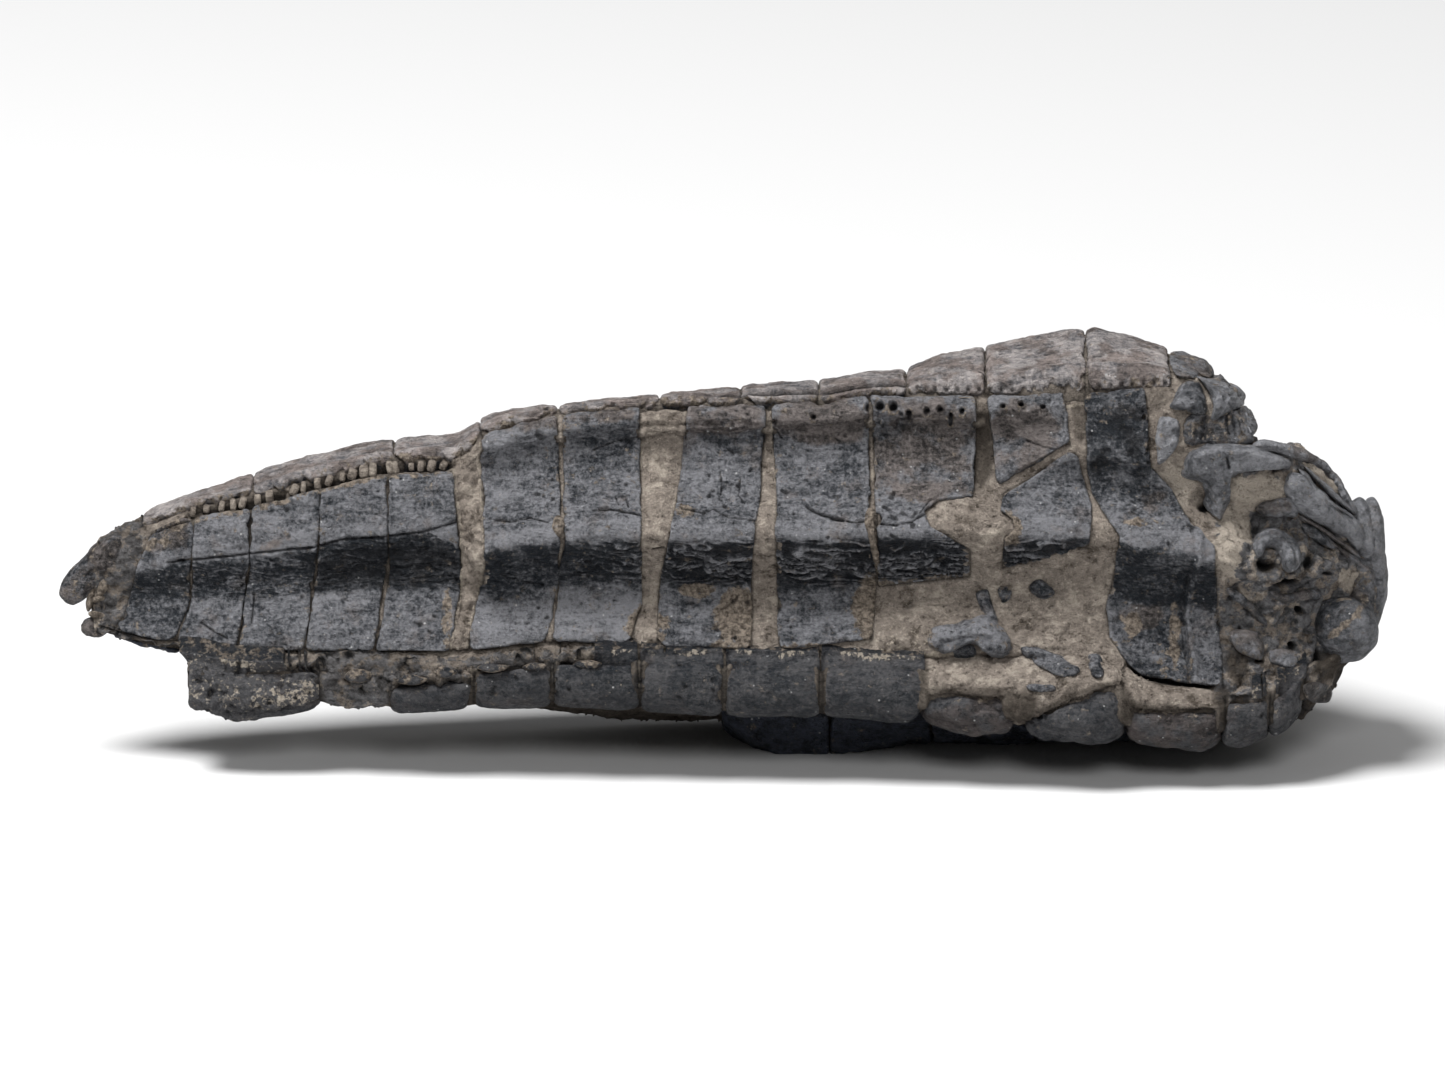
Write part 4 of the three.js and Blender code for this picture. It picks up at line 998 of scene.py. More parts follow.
def front_relief(net, v, border, seed):
    """Relief, wear and painted light of any front arm plate: rim, trough, keel, wrinkled flank and lower face. Painted
    highlights lie on the keel, the ridge crests and the lower face, and painted shade on the flank, its valleys, the
    trough, the cracks and the holes.
    """
    x, w = net[..., 0], net[..., 2]
    height, wear_and_shade = worn_and_shaded_face(net, border, seed)
    tip = ramp(-24, -31, x)
    keel_v, foot_v = 0.54 - 0.17 * tip, 0.7 - 0.08 * tip
    flank = ramp(keel_v - 0.01, keel_v + 0.05, v) * ramp(foot_v + 0.05, foot_v - 0.02, v)
    worn_tip = ramp(-42, -46, x)
    # Winding ridges run along the flank and break up here and there.
    base = ramp(34, 38, x)
    strength = in_mm("wrinkle_height") * (0.45 + 0.55 * ramp(-14, 0, x)) * (1 - 0.7 * worn_tip) * (1 - 0.7 * base)
    sway = 1.3 * grain(net, (4.5, 1.6, 1.4), seed + 5) + 0.8 * grain(net, (1.6, 0.8, 0.7), seed + 6)
    ridge = (1 - np.abs(np.sin(np.pi * (w / 0.6 + sway)))) ** 1.2
    ridge = ridge * ramp(-0.6, 0.0, grain(net, (3.0, 0.9, 0.9), seed + 7))
    height += flank * strength * (2.6 * ridge - 0.9)
    rim = ramp(0.1, 0.06, v)
    height += rim * 0.1 * rubble(net, (1.2, 1.2, 0.7), 2, seed + 8)
    # Painted highlight along the keel.
    pale = wear_and_shade["pale"] + 0.5 * bell(v, keel_v - 0.03, 0.045)
    # Painted shade darkens the flank, which faces down, and painted highlights light the crests of its ridges.
    crests = (0.9 + 1.7 * ramp(-18, -2, x)) * (1 - 0.8 * base)
    pale += flank * (-1.5 + crests * ridge + 0.65 * worn_tip + 0.3 * base)
    # Painted shade in the valleys between the ridges, and over the flank nearer the tip.
    valleys = 0.6 * flank * ramp(-20, -6, x) * ramp(38, 34, x) * (1 - ridge) ** 3
    shaded = 0.6 * flank * ramp(-45, -42, x) * ramp(-26, -28, x) * ramp(keel_v + 0.02, keel_v + 0.1, v)
    valleys = np.maximum(valleys, shaded * (1 - 0.6 * ridge))
    # Painted shade in the trough below the rim.
    pale += 0.12 * rim - 0.16 * bell(v, 0.15, 0.045) * ramp(-27, -22, x)
    # Painted light on the lower face, which faces up.
    pale += 0.5 * ramp(foot_v + 0.04, foot_v + 0.12, v) * ramp(-29, -27, x) * ramp(-6, -9, x)
    pale -= 0.3 * ramp(-55.8, -56.6, x)
    pale -= 0.12 * ramp(-20, -16, x) * ramp(-7, -10, x) * ramp(0.4, 0.2, v)
    sand = wear_and_shade["sand"] + 0.1 * rim
    sand = np.maximum(sand, ovals(FILMS, x, w))
    wear_and_shade["warm"] = ovals(STAINS, x, w)
    height += 0.24 * np.clip(sand - 0.25, 0, 1) * rubble(net, 1.1, 4, seed + 51)
    hollow = np.maximum(wear_and_shade["hollow"], valleys)
    waver = 0.05 * grain(net, 0.5, seed) + 0.03 * grain(net, 0.25, seed + 1)
    # Cracks and rim holes are cut in and painted dark as shade.
    for line, wide, deep in CRACKS:
        near = bell(distance_to(line, x, w) + waver, 0, wide)
        height -= deep * near
        hollow = np.maximum(hollow, 0.95 * near)
    for hx, hw, half_x, half_w in RIM_HOLES:
        hole = pit(x, w, (hx, hw), (half_x, half_w))
        lip = bell(np.hypot((x - hx) / half_x, (w - hw) / half_w), 1.25, 0.25)
        height += 0.12 * lip - 0.7 * hole
        hollow = np.maximum(hollow, np.minimum(1, 1.4 * hole))
        sand = np.maximum(sand, 0.5 * lip)
    under_seam = through(SEAMS["top_front"], x)[..., 1] - w
    beaded = ramp(2.1, 1.5, under_seam) * ramp(-29, -30, x)
    sand = np.maximum(sand, 0.55 * beaded)
    wear_and_shade.update(pale=pale, sand=sand, hollow=hollow, wrinkle=0.25 + 0.75 * flank)
    return height, wear_and_shade


# The line of the suture down the base plate, as (w, x) from its foot up.
BASE_SUTURE = [(-13.8, 49.1), (-9, 48.5), (-6, 48.4), (-3.5, 48.9), (-1.2, 49.8), (1.5, 49.6), (4.4, 49.0)]


def base_plate_relief(net, height, wear_and_shade, seed):
    """The widest front plate: blue-black at its top with painted shade in its dips, a painted shadow under its middle,
    a painted highlight along its raised suture, and mottled at its foot.
    """
    x, w = net[..., 0], net[..., 2]
    from_suture = x - along(BASE_SUTURE, w) + 0.15 * grain(net, 2, seed + 43)
    strip = ramp(-0.1, 0.3, from_suture) * ramp(6, 4.6, w)
    blue = ramp(5.6, 8, w) * ramp(46.6, 45, x)
    shadow = ramp(1.4, -0.6, w) * ramp(-7.2, -5.6, w)
    foot = ramp(-7, -9.5, w)
    # Painted shadow under the middle; painted highlight along the raised suture (the bell below).
    wear_and_shade["pale"] -= 0.42 * blue + 0.3 * bell(w, 5.2, 1.2) + 0.4 * shadow * (1 - strip)
    wear_and_shade["pale"] += -0.3 * ramp(-6.5, -8.5, w) + strip * (0.22 + 0.5 * bell(from_suture, 0.35, 0.35))
    wear_and_shade["sand"] += 0.25 * foot * (0.4 + rubble(net, 2.2, 3, seed + 41)) * (1 - strip)
    height += 0.22 * foot * rubble(net, 1.5, 3, seed + 42)
    height += (
        0.4 * bell(from_suture, 0.25, 0.4) * ramp(6, 4.6, w)
        - 0.35 * bell(from_suture, -0.35, 0.18) * ramp(-2, -4, w))
    # Dips in the blue top are pressed in and painted dark as shade.
    bruise = np.maximum(0, rubble(net, 1.5, 2, seed + 40) - 0.25)
    height -= 0.25 * blue * bruise
    wear_and_shade["hollow"] = np.maximum(wear_and_shade["hollow"], 0.6 * blue * np.minimum(1, 2 * bruise))
    return height


def front_face(name, net, v, border, seed):
    height, wear_and_shade = front_relief(net, v, border, seed)
    if name == "front_arm_plate_01":
        height = base_plate_relief(net, height, wear_and_shade, seed)
    if name == "front_arm_plate_02_lower":
        wear_and_shade["pale"] -= 0.6 * ramp(1.5, 0.5, border) * ramp(1.5, -0.5, net[..., 2])
    return height, wear_and_shade


def top_face(name, net, v, border, seed):
    """Swollen plates with a lip over the seam: slit in the middle of the crown, beaded at its base."""
    height, wear_and_shade = worn_and_shaded_face(net, border, seed)
    x, w = net[..., 0], net[..., 2]
    over_seam = w - through(SEAMS["top_front"], x)[..., 1] + 0.15 * grain(net, 3, seed + 20)
    lip = ramp(0.86, 0.95, v)
    slit = bell(over_seam, 1.0, 0.2) * lip * ramp(-2, 0, x) * ramp(20, 18.6, x)
    height += 0.3 * lip * bell(over_seam, 1.5, 0.3) * ramp(-2, 0, x) * ramp(20, 18, x) - 0.8 * slit
    height += 0.1 * lip * rubble(net, 0.9, 3, seed + 21)
    beads = lip * np.maximum(0, np.sin(2 * np.pi * x / BEAD_PITCH)) * bell(over_seam, 0.45, 0.3) * ramp(20, 22, x)
    height -= 0.35 * beads
    # The slit and the beads' hollows are painted dark as shade.
    wear_and_shade["hollow"] = np.maximum(wear_and_shade["hollow"], np.maximum(slit, 0.9 * beads))
    wear_and_shade["sand"] += lip * ramp(1.3, 0.5, over_seam) * (0.3 + 0.3 * grain(net, 3, seed + 23))
    height -= 0.25 * np.exp(-border / 0.5)
    wear_and_shade["warm"] = 0.45 + 0.3 * grain(net, 6, seed + 24)
    return height, wear_and_shade


def tip_block_relief(net, down, border, wear_and_shade, seed):
    """The long plate at the lower arm's tip: corroded above and smooth in its lower part."""
    x, share = net[..., 0], down / down[-1]
    smooth = ramp(0.32, 0.37, share) * ramp(-50.4, -48.8, x)
    corroded = rubble(net, 0.95, 4, seed + 62) * (1 - smooth)
    wear_and_shade["pale"] += (1.1 + 1.1 * corroded) * (1 - smooth)
    specks = 0.16 + bell(share, 0.22, 0.1) * (0.2 + 0.32 * ramp(-52, -46, x)) * ramp(0.36, 0.3, share)
    wear_and_shade["cream"] = np.maximum(wear_and_shade["cream"], specks * (0.8 + 0.5 * grain(net, 1.5, seed + 63)) * (1 - smooth))
    # Painted shade in the deepest corroded dips.
    wear_and_shade["hollow"] = np.maximum(wear_and_shade["hollow"], 0.9 * ramp(-0.4, -0.8, corroded))
    return 0.42 * corroded * ramp(0.1, 1.1, border) - 0.45 * bell(share, 0.345, 0.018) * ramp(-52, -50, x)


def lower_face(name, net, v, border, seed):
    """Low dark bricks with pale rims; those nearest the cup are broken, stained or lumpy."""
    height, wear_and_shade = worn_and_shaded_face(net, border, seed, 0.6)
    down = walked_down(net)
    broken = name in BROKEN_PLATES
    height -= np.exp(-border / 1.2) if broken else 0.5 * np.exp(-border / 0.7)
    wear_and_shade["sand"] *= 0.3
    rim = (0.1 if broken else 0.35) * bell(border, 0.4, 0.2) * (0.6 + 0.7 * grain(net, 1.4, seed + 65))
    wear_and_shade["pale"] += rim - 0.08
    wear_and_shade["cream"] = 0.6 * bell(down, 0.1, 0.22) * ramp(-0.4, 0.3, grain(net, 1.8, seed + 64))
    if name == "lower_arm_plate_12":
        height += tip_block_relief(net, down, border, wear_and_shade, seed)
    if name in STAINED_PLATES:
        wear_and_shade["warm"] = 0.55
        wear_and_shade["pale"] += 0.25
        wear_and_shade["sand"] += 0.6 * ramp(1.8, 0.2, down) * (0.6 + rubble(net, 2, 2, seed + 66))
        height += 0.3 * rubble(net, 2.4, 3, seed + 67)
    if name in LUMPY_PLATES:
        height += 0.3 * rubble(net, 2.8, 3, seed + 67)
        wear_and_shade["pale"] += 0.1
    return height, wear_and_shade


def under_face(name, net, v, border, seed):
    return worn_and_shaded_face(net, border, seed, 1.7)


def rear_face(name, net, v, border, seed):
    """Plates with a pale ridge along their middle and a dark trough on each side of it."""
    height, wear_and_shade = worn_and_shaded_face(net, border, seed, 1.3)
    wear_and_shade["pale"] += 0.2 * bell(v, 0.5, 0.07) - 0.15 * (bell(v, 0.22, 0.06) + bell(v, 0.78, 0.06))
    return height, wear_and_shade


# Each arm's plates, the setting that holds their mesh step, the radius of their worn edges where it
# isn't a setting, and the function that gives a plate its relief, wear and painted light and shade.
PLATES = {
    "front": (FRONT_PLATES, "front_step", None, front_face),
    "top": (TOP_PLATES, "side_step", 0.3, top_face),
    "lower": (LOWER_PLATES, "side_step", 0.6, lower_face),
    "under": (UNDER_PLATES, "hidden_step", 0.4, under_face),
    "rear": (REAR_PLATES, "hidden_step", 0.35, rear_face),
}


def build_arm(arm):
    """Makes and settles every plate of an arm."""
    plates, step, edge_radius, face = PLATES[arm]
    edge_radius = edge_radius or in_mm("edge_radius")
    for k, (name, plate) in enumerate(plates.items()):
        seed = first_seed(arm) + SEED_STEP * k
        net, v, border = plate_net(arm, plate, in_mm(step), seed)
        height, wear_and_shade = face(name, net, v, border, seed)
        piece = finish_plate(f"stone_{name}", net, border, height, wear_and_shade, edge_radius, finish_for(arm), seed)
        settle(piece, name)


# --- the sandstone body
# Mesh columns per millimetre along the body, as (x, density), and mesh rows down each arm.
MATRIX_COLUMNS = [(-66, 2.7), (-30, 2.6), (-28, 3.2), (25, 3.2), (27, 4), (60, 4), (67.5, 3)]
CAP_WEAR = {"pale": (0.45, 0.7), "open": (1, 1), "warm": (0, 0.4)}  # of the tip's end and the cup's
MATRIX_ROWS = {"front": 100, "lower": 38, "under": 16, "rear": 24, "top": 38}


def room_at(arm, x, v):
    """Distance in millimetres from each place on an arm's face to the nearest plate, less than 0 under one."""
    best = np.full(np.broadcast(x, v).shape, 9.0)
    for plate in PLATES[arm][0].values():
        (l0, l1), (r0, r1) = plate["across"]
        left, right = along(plate["left"], v), along(plate["right"], v)
        ends = [plate["left"][0][1], plate["right"][0][1]]
        first, last = np.interp(x, ends, [l0, r0]), np.interp(x, ends, [l1, r1])
        sideways = np.maximum(left - x, x - right)
        endways = np.maximum(first - v, v - last) * ARM_WIDTH
        best = np.minimum(best, np.maximum(sideways, endways))
    return best


class Ground:
    """The sandstone's height over a net of an arm's face, and its wear and painted shade, built up mark by mark."""

    def __init__(self, arm, net, v, room, seed):
        self.arm, self.net, self.v, self.room, self.seed = arm, net, v, room, seed
        self.x, self.w = net[..., 0], net[..., 2]
        lumps = self.rubble((1.6, 1.2, 1.2), 3, 2)
        self.height = -in_mm("matrix_level") + 0.14 * self.rubble((3.6, 2.4, 2.4), 2, 0) + 0.1 * lumps
        self.height += (
            0.3 * ramp(0.3, 1.6, room) + 0.16 * ramp(0.6, 2, room) * lumps - 1.0 * ramp(-0.3, -0.9, room))
        self.wear_and_shade = {key: np.zeros(v.shape) for key in ("hollow", "cream", "pale", "sand", "warm")}
        self.wear_and_shade["open"] = ramp(0.05, 0.3, room)
        # Painted shade in the deepest dips.
        self.mark("hollow", 0.35 * ramp(-0.9, -1.3, lumps))

    def rubble(self, size, octaves, shift):
        return rubble(self.net, size, octaves, self.seed + shift)

    def grain(self, size, shift):
        return grain(self.net, size, self.seed + shift)

    def mark(self, key, share):
        self.wear_and_shade[key] = np.maximum(self.wear_and_shade[key], share)


def lay_shades(g):
    """Painted shade: dark outlines round the plates, and brown shade in the hollows."""
    outlined = 0.85 * bell(g.room, 0, 0.2)
    if g.arm == "lower":
        outlined = outlined * (1 - 0.8 * ramp(0.36, 0.3, g.v) * ramp(19, 21, g.x) * ramp(53, 51, g.x))
    g.mark("hollow", outlined)
    stray = 0.5 * g.rubble(1.6, 3, 17)
    g.mark("warm", ovals(SHADES, g.x + stray, g.w - stray))


def lay_seam(g):
    """The step down to the cup and the trench of the small sockets, on the front and top arms."""
    x, v = g.x, g.v
    sockets = np.zeros(x.shape)
    for first, last, _ in SOCKET_RUNS:
        sockets = np.maximum(sockets, ramp(first - 0.8, first - 0.5, x) * ramp(last + 0.5, last, x))
    drop = 2.1 * bell(v, 0.5, 0.35) + 0.9 if g.arm == "top" else 0.9 * ramp(0.12, 0.02, v)
    g.height -= ramp(54.2, 55.6, x) * ramp(60.5, 57.5, x) * drop
    below = through(SEAMS["top_front"], x)[..., 1] - g.w
    trench = sockets * ramp(-0.1, 0.1, below) * ramp(1.05, 0.85, below)
    # The socket trench is sunk and painted dark brown and black as shade.
    g.height -= 1.0 * trench
    g.mark("hollow", 0.7 * trench)
    g.mark("warm", trench)
    bank = sockets * bell(below, 1.5, 0.3)
    g.height += 0.2 * bank
    g.mark("cream", 0.62 * bank)


def lay_front(g):
    """Slits, the ledge under the front arm, crusts along its gaps and the cover on its foot."""
    x, v, room = g.x, g.v, g.room
    slit = np.zeros(x.shape)
    for first, last in SLITS:
        slit = np.maximum(slit, ramp(first - 0.5, first + 0.4, x) * ramp(last + 0.5, last - 0.4, x))
    upper = ramp(0.022, 0.008, v)
    # The slits are sunk and painted black as shade.
    g.height -= 2.0 * slit * upper
    g.mark("hollow", slit * upper)
    ledge = ramp(0.965, 0.985, v) * ramp(57, 52, x)
    undercut = ledge * np.maximum(ramp(-8, -14, x), ramp(41.5, 43, x) * ramp(52, 50.5, x))
    crumbs = g.rubble(1.1, 4, 4)
    g.height += ledge * 0.4 * ramp(22, 14, x) * crumbs - 1.0 * undercut
    # Painted shade in the ledge's dips, and a black painted shadow in the undercut under the front arm's lower edge.
    g.mark("hollow", ledge * ramp(-0.35, -0.8, crumbs) * ramp(18, 12, x))
    g.mark("hollow", 0.95 * undercut)
    g.mark("cream", 0.5 * ledge * ramp(-12, -6, x) * ramp(30, 22, x))
    # Thin pale crusts stand along the sides of the gaps.
    crust = bell(room, 0.2, 0.13) * ramp(-31, -30, x) * ramp(19, 15, x) * ramp(0.0, 0.5, g.grain(2.6, 3))
    gap_8 = ramp(-29.6, -28.8, x) * ramp(-24, -25, x)
    banks = bell(room, 0.26, 0.17) * gap_8
    g.height += 0.16 * crust + 0.3 * banks + 0.3 * gap_8 * g.rubble(1.0, 3, 6)
    g.mark("cream", np.maximum(0.6 * crust, 0.6 * banks))
    cover = ramp(0.56, 0.66, v) * ramp(14, 17, x) * ramp(44, 41, x)
    g.height += 0.28 * cover + 0.12 * cover * g.grain((3, 0.5, 0.5), 11)
    g.mark("cream", 0.3 * cover * ramp(0.84, 0.93, v) * ramp(30, 25, x))
    # A short cut, sunk and painted black as shade.
    black_cut = bell(distance_to([(-7.6, -0.6), (-6.4, -0.6)], x, g.w), 0, 0.13)
    g.height -= 0.5 * black_cut
    g.mark("hollow", black_cut)


def lay_lower(g):
    """The crumbly band and the shelf over the lower arm's bricks, and the worn gap near its tip."""
    x, v, room = g.x, g.v, g.room
    g.height -= 0.9 * ramp(-56, -57.2, x) * ramp(0.1, 0.2, v)
    crumbs = g.rubble(1.0, 4, 5)
    band = ramp(0.32, 0.26, v) * ramp(-6, -9, x) * ramp(0, 0.04, v)
    shelf = ramp(0.34, 0.28, v) * ramp(19, 21, x) * ramp(49, 46, x) * ramp(0, 0.06, v)
    g.height += 0.45 * band * crumbs + shelf * (0.25 + 0.2 * crumbs)
    g.height -= 1.1 * ramp(0.3, 0.42, v) * ramp(19, 21, x) * ramp(1.6, 0.9, room)
    # Painted shade in the band's deepest crumbs.
    g.mark("hollow", band * ramp(-0.3, -0.75, crumbs))
    g.mark("pale", 0.5 * band)
    g.mark("warm", 0.4 * band)
    beside = 0.6 * bell(room, 0.25, 0.2) * ramp(-0.5, 0.2, g.grain(1.6, 8))
    g.mark("cream", band * (beside + 0.22 * ramp(0.3, 0.8, crumbs)))
    g.mark("cream", 0.55 * ramp(0.05, 0.02, v) * ramp(-9, -6, x) * ramp(21, 19, x))
    g.mark("warm", np.maximum(0.9 * ramp(0.5, 0.9, v), 0.8 * ramp(0.8, 0.4, room) * ramp(0.06, 0.14, v)))
    worn_gap = ramp(-43.6, -42.8, x) * ramp(-35, -35.6, x)
    g.height += worn_gap * (0.3 * g.rubble(1.6, 3, 12) - 0.2)
    g.mark("pale", 0.7 * worn_gap)
    g.mark("sand", 0.1 * shelf)


def lay_ends(g):
    """The grey worn tip, and the bare, crumbly and holed sandstone of the cup."""
    x, w = g.x, g.w
    end = ramp(-58.5, -62.5, x)
    if g.arm in ("front", "top", "lower"):
        g.mark("pale", 0.6 * end)
        g.mark("warm", 0.4 * end)
        g.height += end * (0.35 * g.rubble((2.2, 1.4, 1.4), 3, 14) + 0.1)
    if g.arm == "under":
        g.mark("warm", 0.8)
    sandy = np.full(x.shape, 0.3)
    if g.arm in ("front", "top"):
        sandy = np.zeros(x.shape)
        roam = 0.7 * g.rubble(1.8, 4, 16)
        for at, half, turn in CUP_SANDS:
            sandy = np.maximum(sandy, patch(x + roam, w - roam, at, half, turn))
        g.mark("sand", sandy)
    cup = ramp(50.2, 52.2, x)
    crumbly = cup * (1 - sandy)
    g.mark("pale", 0.6 * crumbly)
    slanted = g.net @ np.array([[0.8, 0, 0.6], [0, 1, 0], [-0.6, 0, 0.8]])
    coarse = rubble(slanted, (1.5, 2.2, 2.8), 4, g.seed + 15)
    flakes = rubble(slanted, (0.6, 1.0, 1.5), 3, g.seed + 18)
    g.height += crumbly * (0.45 * coarse + 0.16 * flakes) + cup * 0.15 * coarse
    # Painted shade in the crumbly stone's dips and in the holes below.
    g.mark("hollow", crumbly * 0.6 * ramp(-0.6, -1.0, coarse))
    if g.arm == "front":
        for hx, hw, half_x, half_w, deep in CUP_HOLES:
            hole = pit(x, w, (hx, hw), (half_x, half_w))
            g.height -= deep * hole
            g.mark("hollow", np.minimum(1, 1.3 * hole))


def sandstone_net(arm, x, v, seed):
    """Points of the sandstone's surface on an arm, and its wear."""
    net = arm_face(arm, x, v)
    room = room_at(arm, x, v)
    g = Ground(arm, net, v, room, seed)
    lay_shades(g)
    if arm in ("front", "top"):
        lay_seam(g)
    if arm == "front":
        lay_front(g)
    if arm == "lower":
        lay_lower(g)
    lay_ends(g)
    to_axis, _ = inward(net)
    # Under a plate it sinks straight back, so that it can't come out through a step in the plate.
    back = np.array([0, 1.0, 0]) if arm == "front" else -to_axis
    covered = ramp(0.1, -0.4, room)[..., None]
    way = unit(unit(net_normals(net) - 0.6 * to_axis) * (1 - covered) + back * covered)
    return net + way * g.height[..., None], g.wear_and_shade


def build_matrix():
    """The closed body of sandstone, in rings round the crown."""
    seed = first_seed("matrix")
    marks = np.linspace(TIP_END, CUP_END, 2000)
    counted = np.concatenate([[0], np.cumsum(np.diff(marks) * along(MATRIX_COLUMNS, marks[:-1]))])
    x = np.interp(np.linspace(0, counted[-1], int(counted[-1])), counted, marks)[:, None]
    bands = []
    for arm, rows in MATRIX_ROWS.items():
        v, _ = paced(arm, 20.0, 0, 1, np.arange(rows) / rows)
        bands.append(sandstone_net(arm, *np.broadcast_arrays(x, v[None, :]), seed))
    rings = np.concatenate([net for net, _ in bands], axis=1)
    count = rings.shape[1]
    caps = []
    for ring, reach, steps in ((rings[0], TIP_CAP, 9), (rings[-1], CUP_CAP, 12)):
        centre = np.concatenate([ring[0, :1], through(AXIS, ring[0, 0])])
        turn = np.linspace(0, np.pi / 2, steps + 1)[1:-1]
        cap = np.array([centre + (ring - centre) * np.cos(a) + np.array([reach * np.sin(a), 0, 0]) for a in turn])
        cap += 0.5 * rubble(cap, 2.2, 4, seed + 9)[..., None] * np.array([np.sign(reach) * 0.8, 0, 0])
        caps.append((cap, centre + np.array([reach, 0, 0])))
    (start, start_pole), (end, end_pole) = caps
    grid = np.concatenate([start[::-1], rings, end])
    total = grid.shape[0]
    faces, index, after = ring_sides(total, count)
    poles = [total * count, total * count + 1]
    faces += [[poles[0], int(index[0, k]), int(after[0, k])] for k in range(count)]
    faces += [[poles[1], int(after[-1, k]), int(index[-1, k])] for k in range(count)]
    points = np.concatenate([grid.reshape(-1, 3), [start_pole, end_pole]])
    wear_and_shade = {}
    for key in bands[0][1]:
        mask = np.concatenate([wear_and_shade_of[key] for _, wear_and_shade_of in bands], axis=1)
        ends = CAP_WEAR.get(key, (0, 0))
        full = np.pad(mask, ((len(start), len(end)), (0, 0)), constant_values=(ends, (0, 0)))
        wear_and_shade[key] = np.concatenate([full.ravel(), ends])
    piece = make_piece("stone_matrix", points, faces, wear_and_shade, finish_for("matrix"))
    settle(piece, "matrix")


# Finer patches of the sandstone where it shows most: name, arm, first and last x, first and last v.
FILLS = [
    ("tip", "front", -65.6, -59.6, 0.03, 0.97), ("gap_12", "front", -59, -55.2, 0.02, 0.98),
    ("sockets", "front", -56.4, -28.9, 0.0, 0.075), ("gap_8", "front", -29.9, -24.4, 0.0, 0.98),
    ("gap_7", "front", -19.7, -16.2, 0.0, 0.98), ("gap_6", "front", -11, -3.2, 0.0, 0.98),
    ("gap_5", "front", 2, 6.4, 0.0, 0.98), ("gap_4", "front", 14.4, 16.6, 0.0, 0.98),
    ("gap_3", "front", 20.4, 30.8, 0.0, 0.72), ("gap_2", "front", 28.6, 42.6, 0.0, 0.66),
    ("foot_field", "front", 2.6, 42.4, 0.64, 0.995), ("cup_side", "front", 43.6, 66.8, 0.01, 0.955),
    ("ledge_left", "lower", -57.4, -7.6, 0.0, 0.27), ("ledge_right", "lower", -7.6, 41.6, 0.0, 0.36),
]
# Those that meet another along a seam, and so sink less at their first and last rows.
SEAM_FILLS = ("foot_field", "ledge_left", "ledge_right")


def build_fills():
    seed = first_seed("matrix")
    for name, arm, x0, x1, v0, v1 in FILLS:
        step = (0.8 if name == "sockets" else 1.3) * in_mm("front_step")
        middle = (x0 + x1) / 2
        _, length = paced(arm, middle, v0, v1, [0, 1])
        v, _ = paced(arm, middle, v0, v1, np.linspace(0, 1, int(length / step)))
        x = np.linspace(x0, x1, int((x1 - x0) / step))
        x, v = np.meshgrid(x, v)
        net, wear_and_shade = sandstone_net(arm, x, v, seed)
        down = walked_down(net)
        on_seam = 0.25 if name in SEAM_FILLS else 0.0
        border = np.minimum(np.minimum(down, down[-1:] - down) + on_seam, np.minimum(x - x0, x1 - x))
        lift = 0.1 + 0.07 * rubble(net, 0.6, 3, seed + 71) - 0.5 * ramp(0.35, 0.0, border)
        outer = net + net_normals(net) * lift[..., None]
        settle(close_plate(f"stone_sand_{name}", outer, wear_and_shade, {}, finish_for("matrix"), seed))


# --- stones set in the face
STONE_ROOT = 2.2  # how far a set stone reaches into the face
STONE_SPOKES, STONE_RING_STEP = 170, 0.13
FOLD_SPOKES, FOLD_STEP = 72, 0.14
BOULDER_RINGS, BOULDER_SPOKES = 56, 96


def smooth_outline(outline, count):
    """Points round a closed outline that runs smoothly through its corners, at equal lengths."""
    corners = np.asarray(outline, float)
    before, ahead, beyond = np.roll(corners, 1, 0), np.roll(corners, -1, 0), np.roll(corners, -2, 0)
    u = np.linspace(0, 1, 24, endpoint=False)[None, :, None]
    a, b, c, d = (side[:, None, :] for side in (before, corners, ahead, beyond))
    curve = 0.5 * (2 * b + (c - a) * u + (2 * a - 5 * b + 4 * c - d) * u**2 + (3 * b - a - 3 * c + d) * u**3)
    curve = curve.reshape(-1, 2)
    closed = np.concatenate([curve, curve[:1]])
    walked = walked_down(closed)
    places = np.linspace(0, walked[-1], count, endpoint=False)
    return np.stack([np.interp(places, walked, closed[:, k]) for k in (0, 1)], axis=-1)


def stone(points, warm, **masks):
    """Points, faces and wear of a closed stone made of rings of points."""
    wear_and_shade = {key: np.broadcast_to(mask, points.shape[:2]).ravel() for key, mask in masks.items()}
    wear_and_shade.update(warm=warm, wrinkle=0.3)
    return points.reshape(-1, 3), rings_to_faces(*points.shape[:2]), wear_and_shade


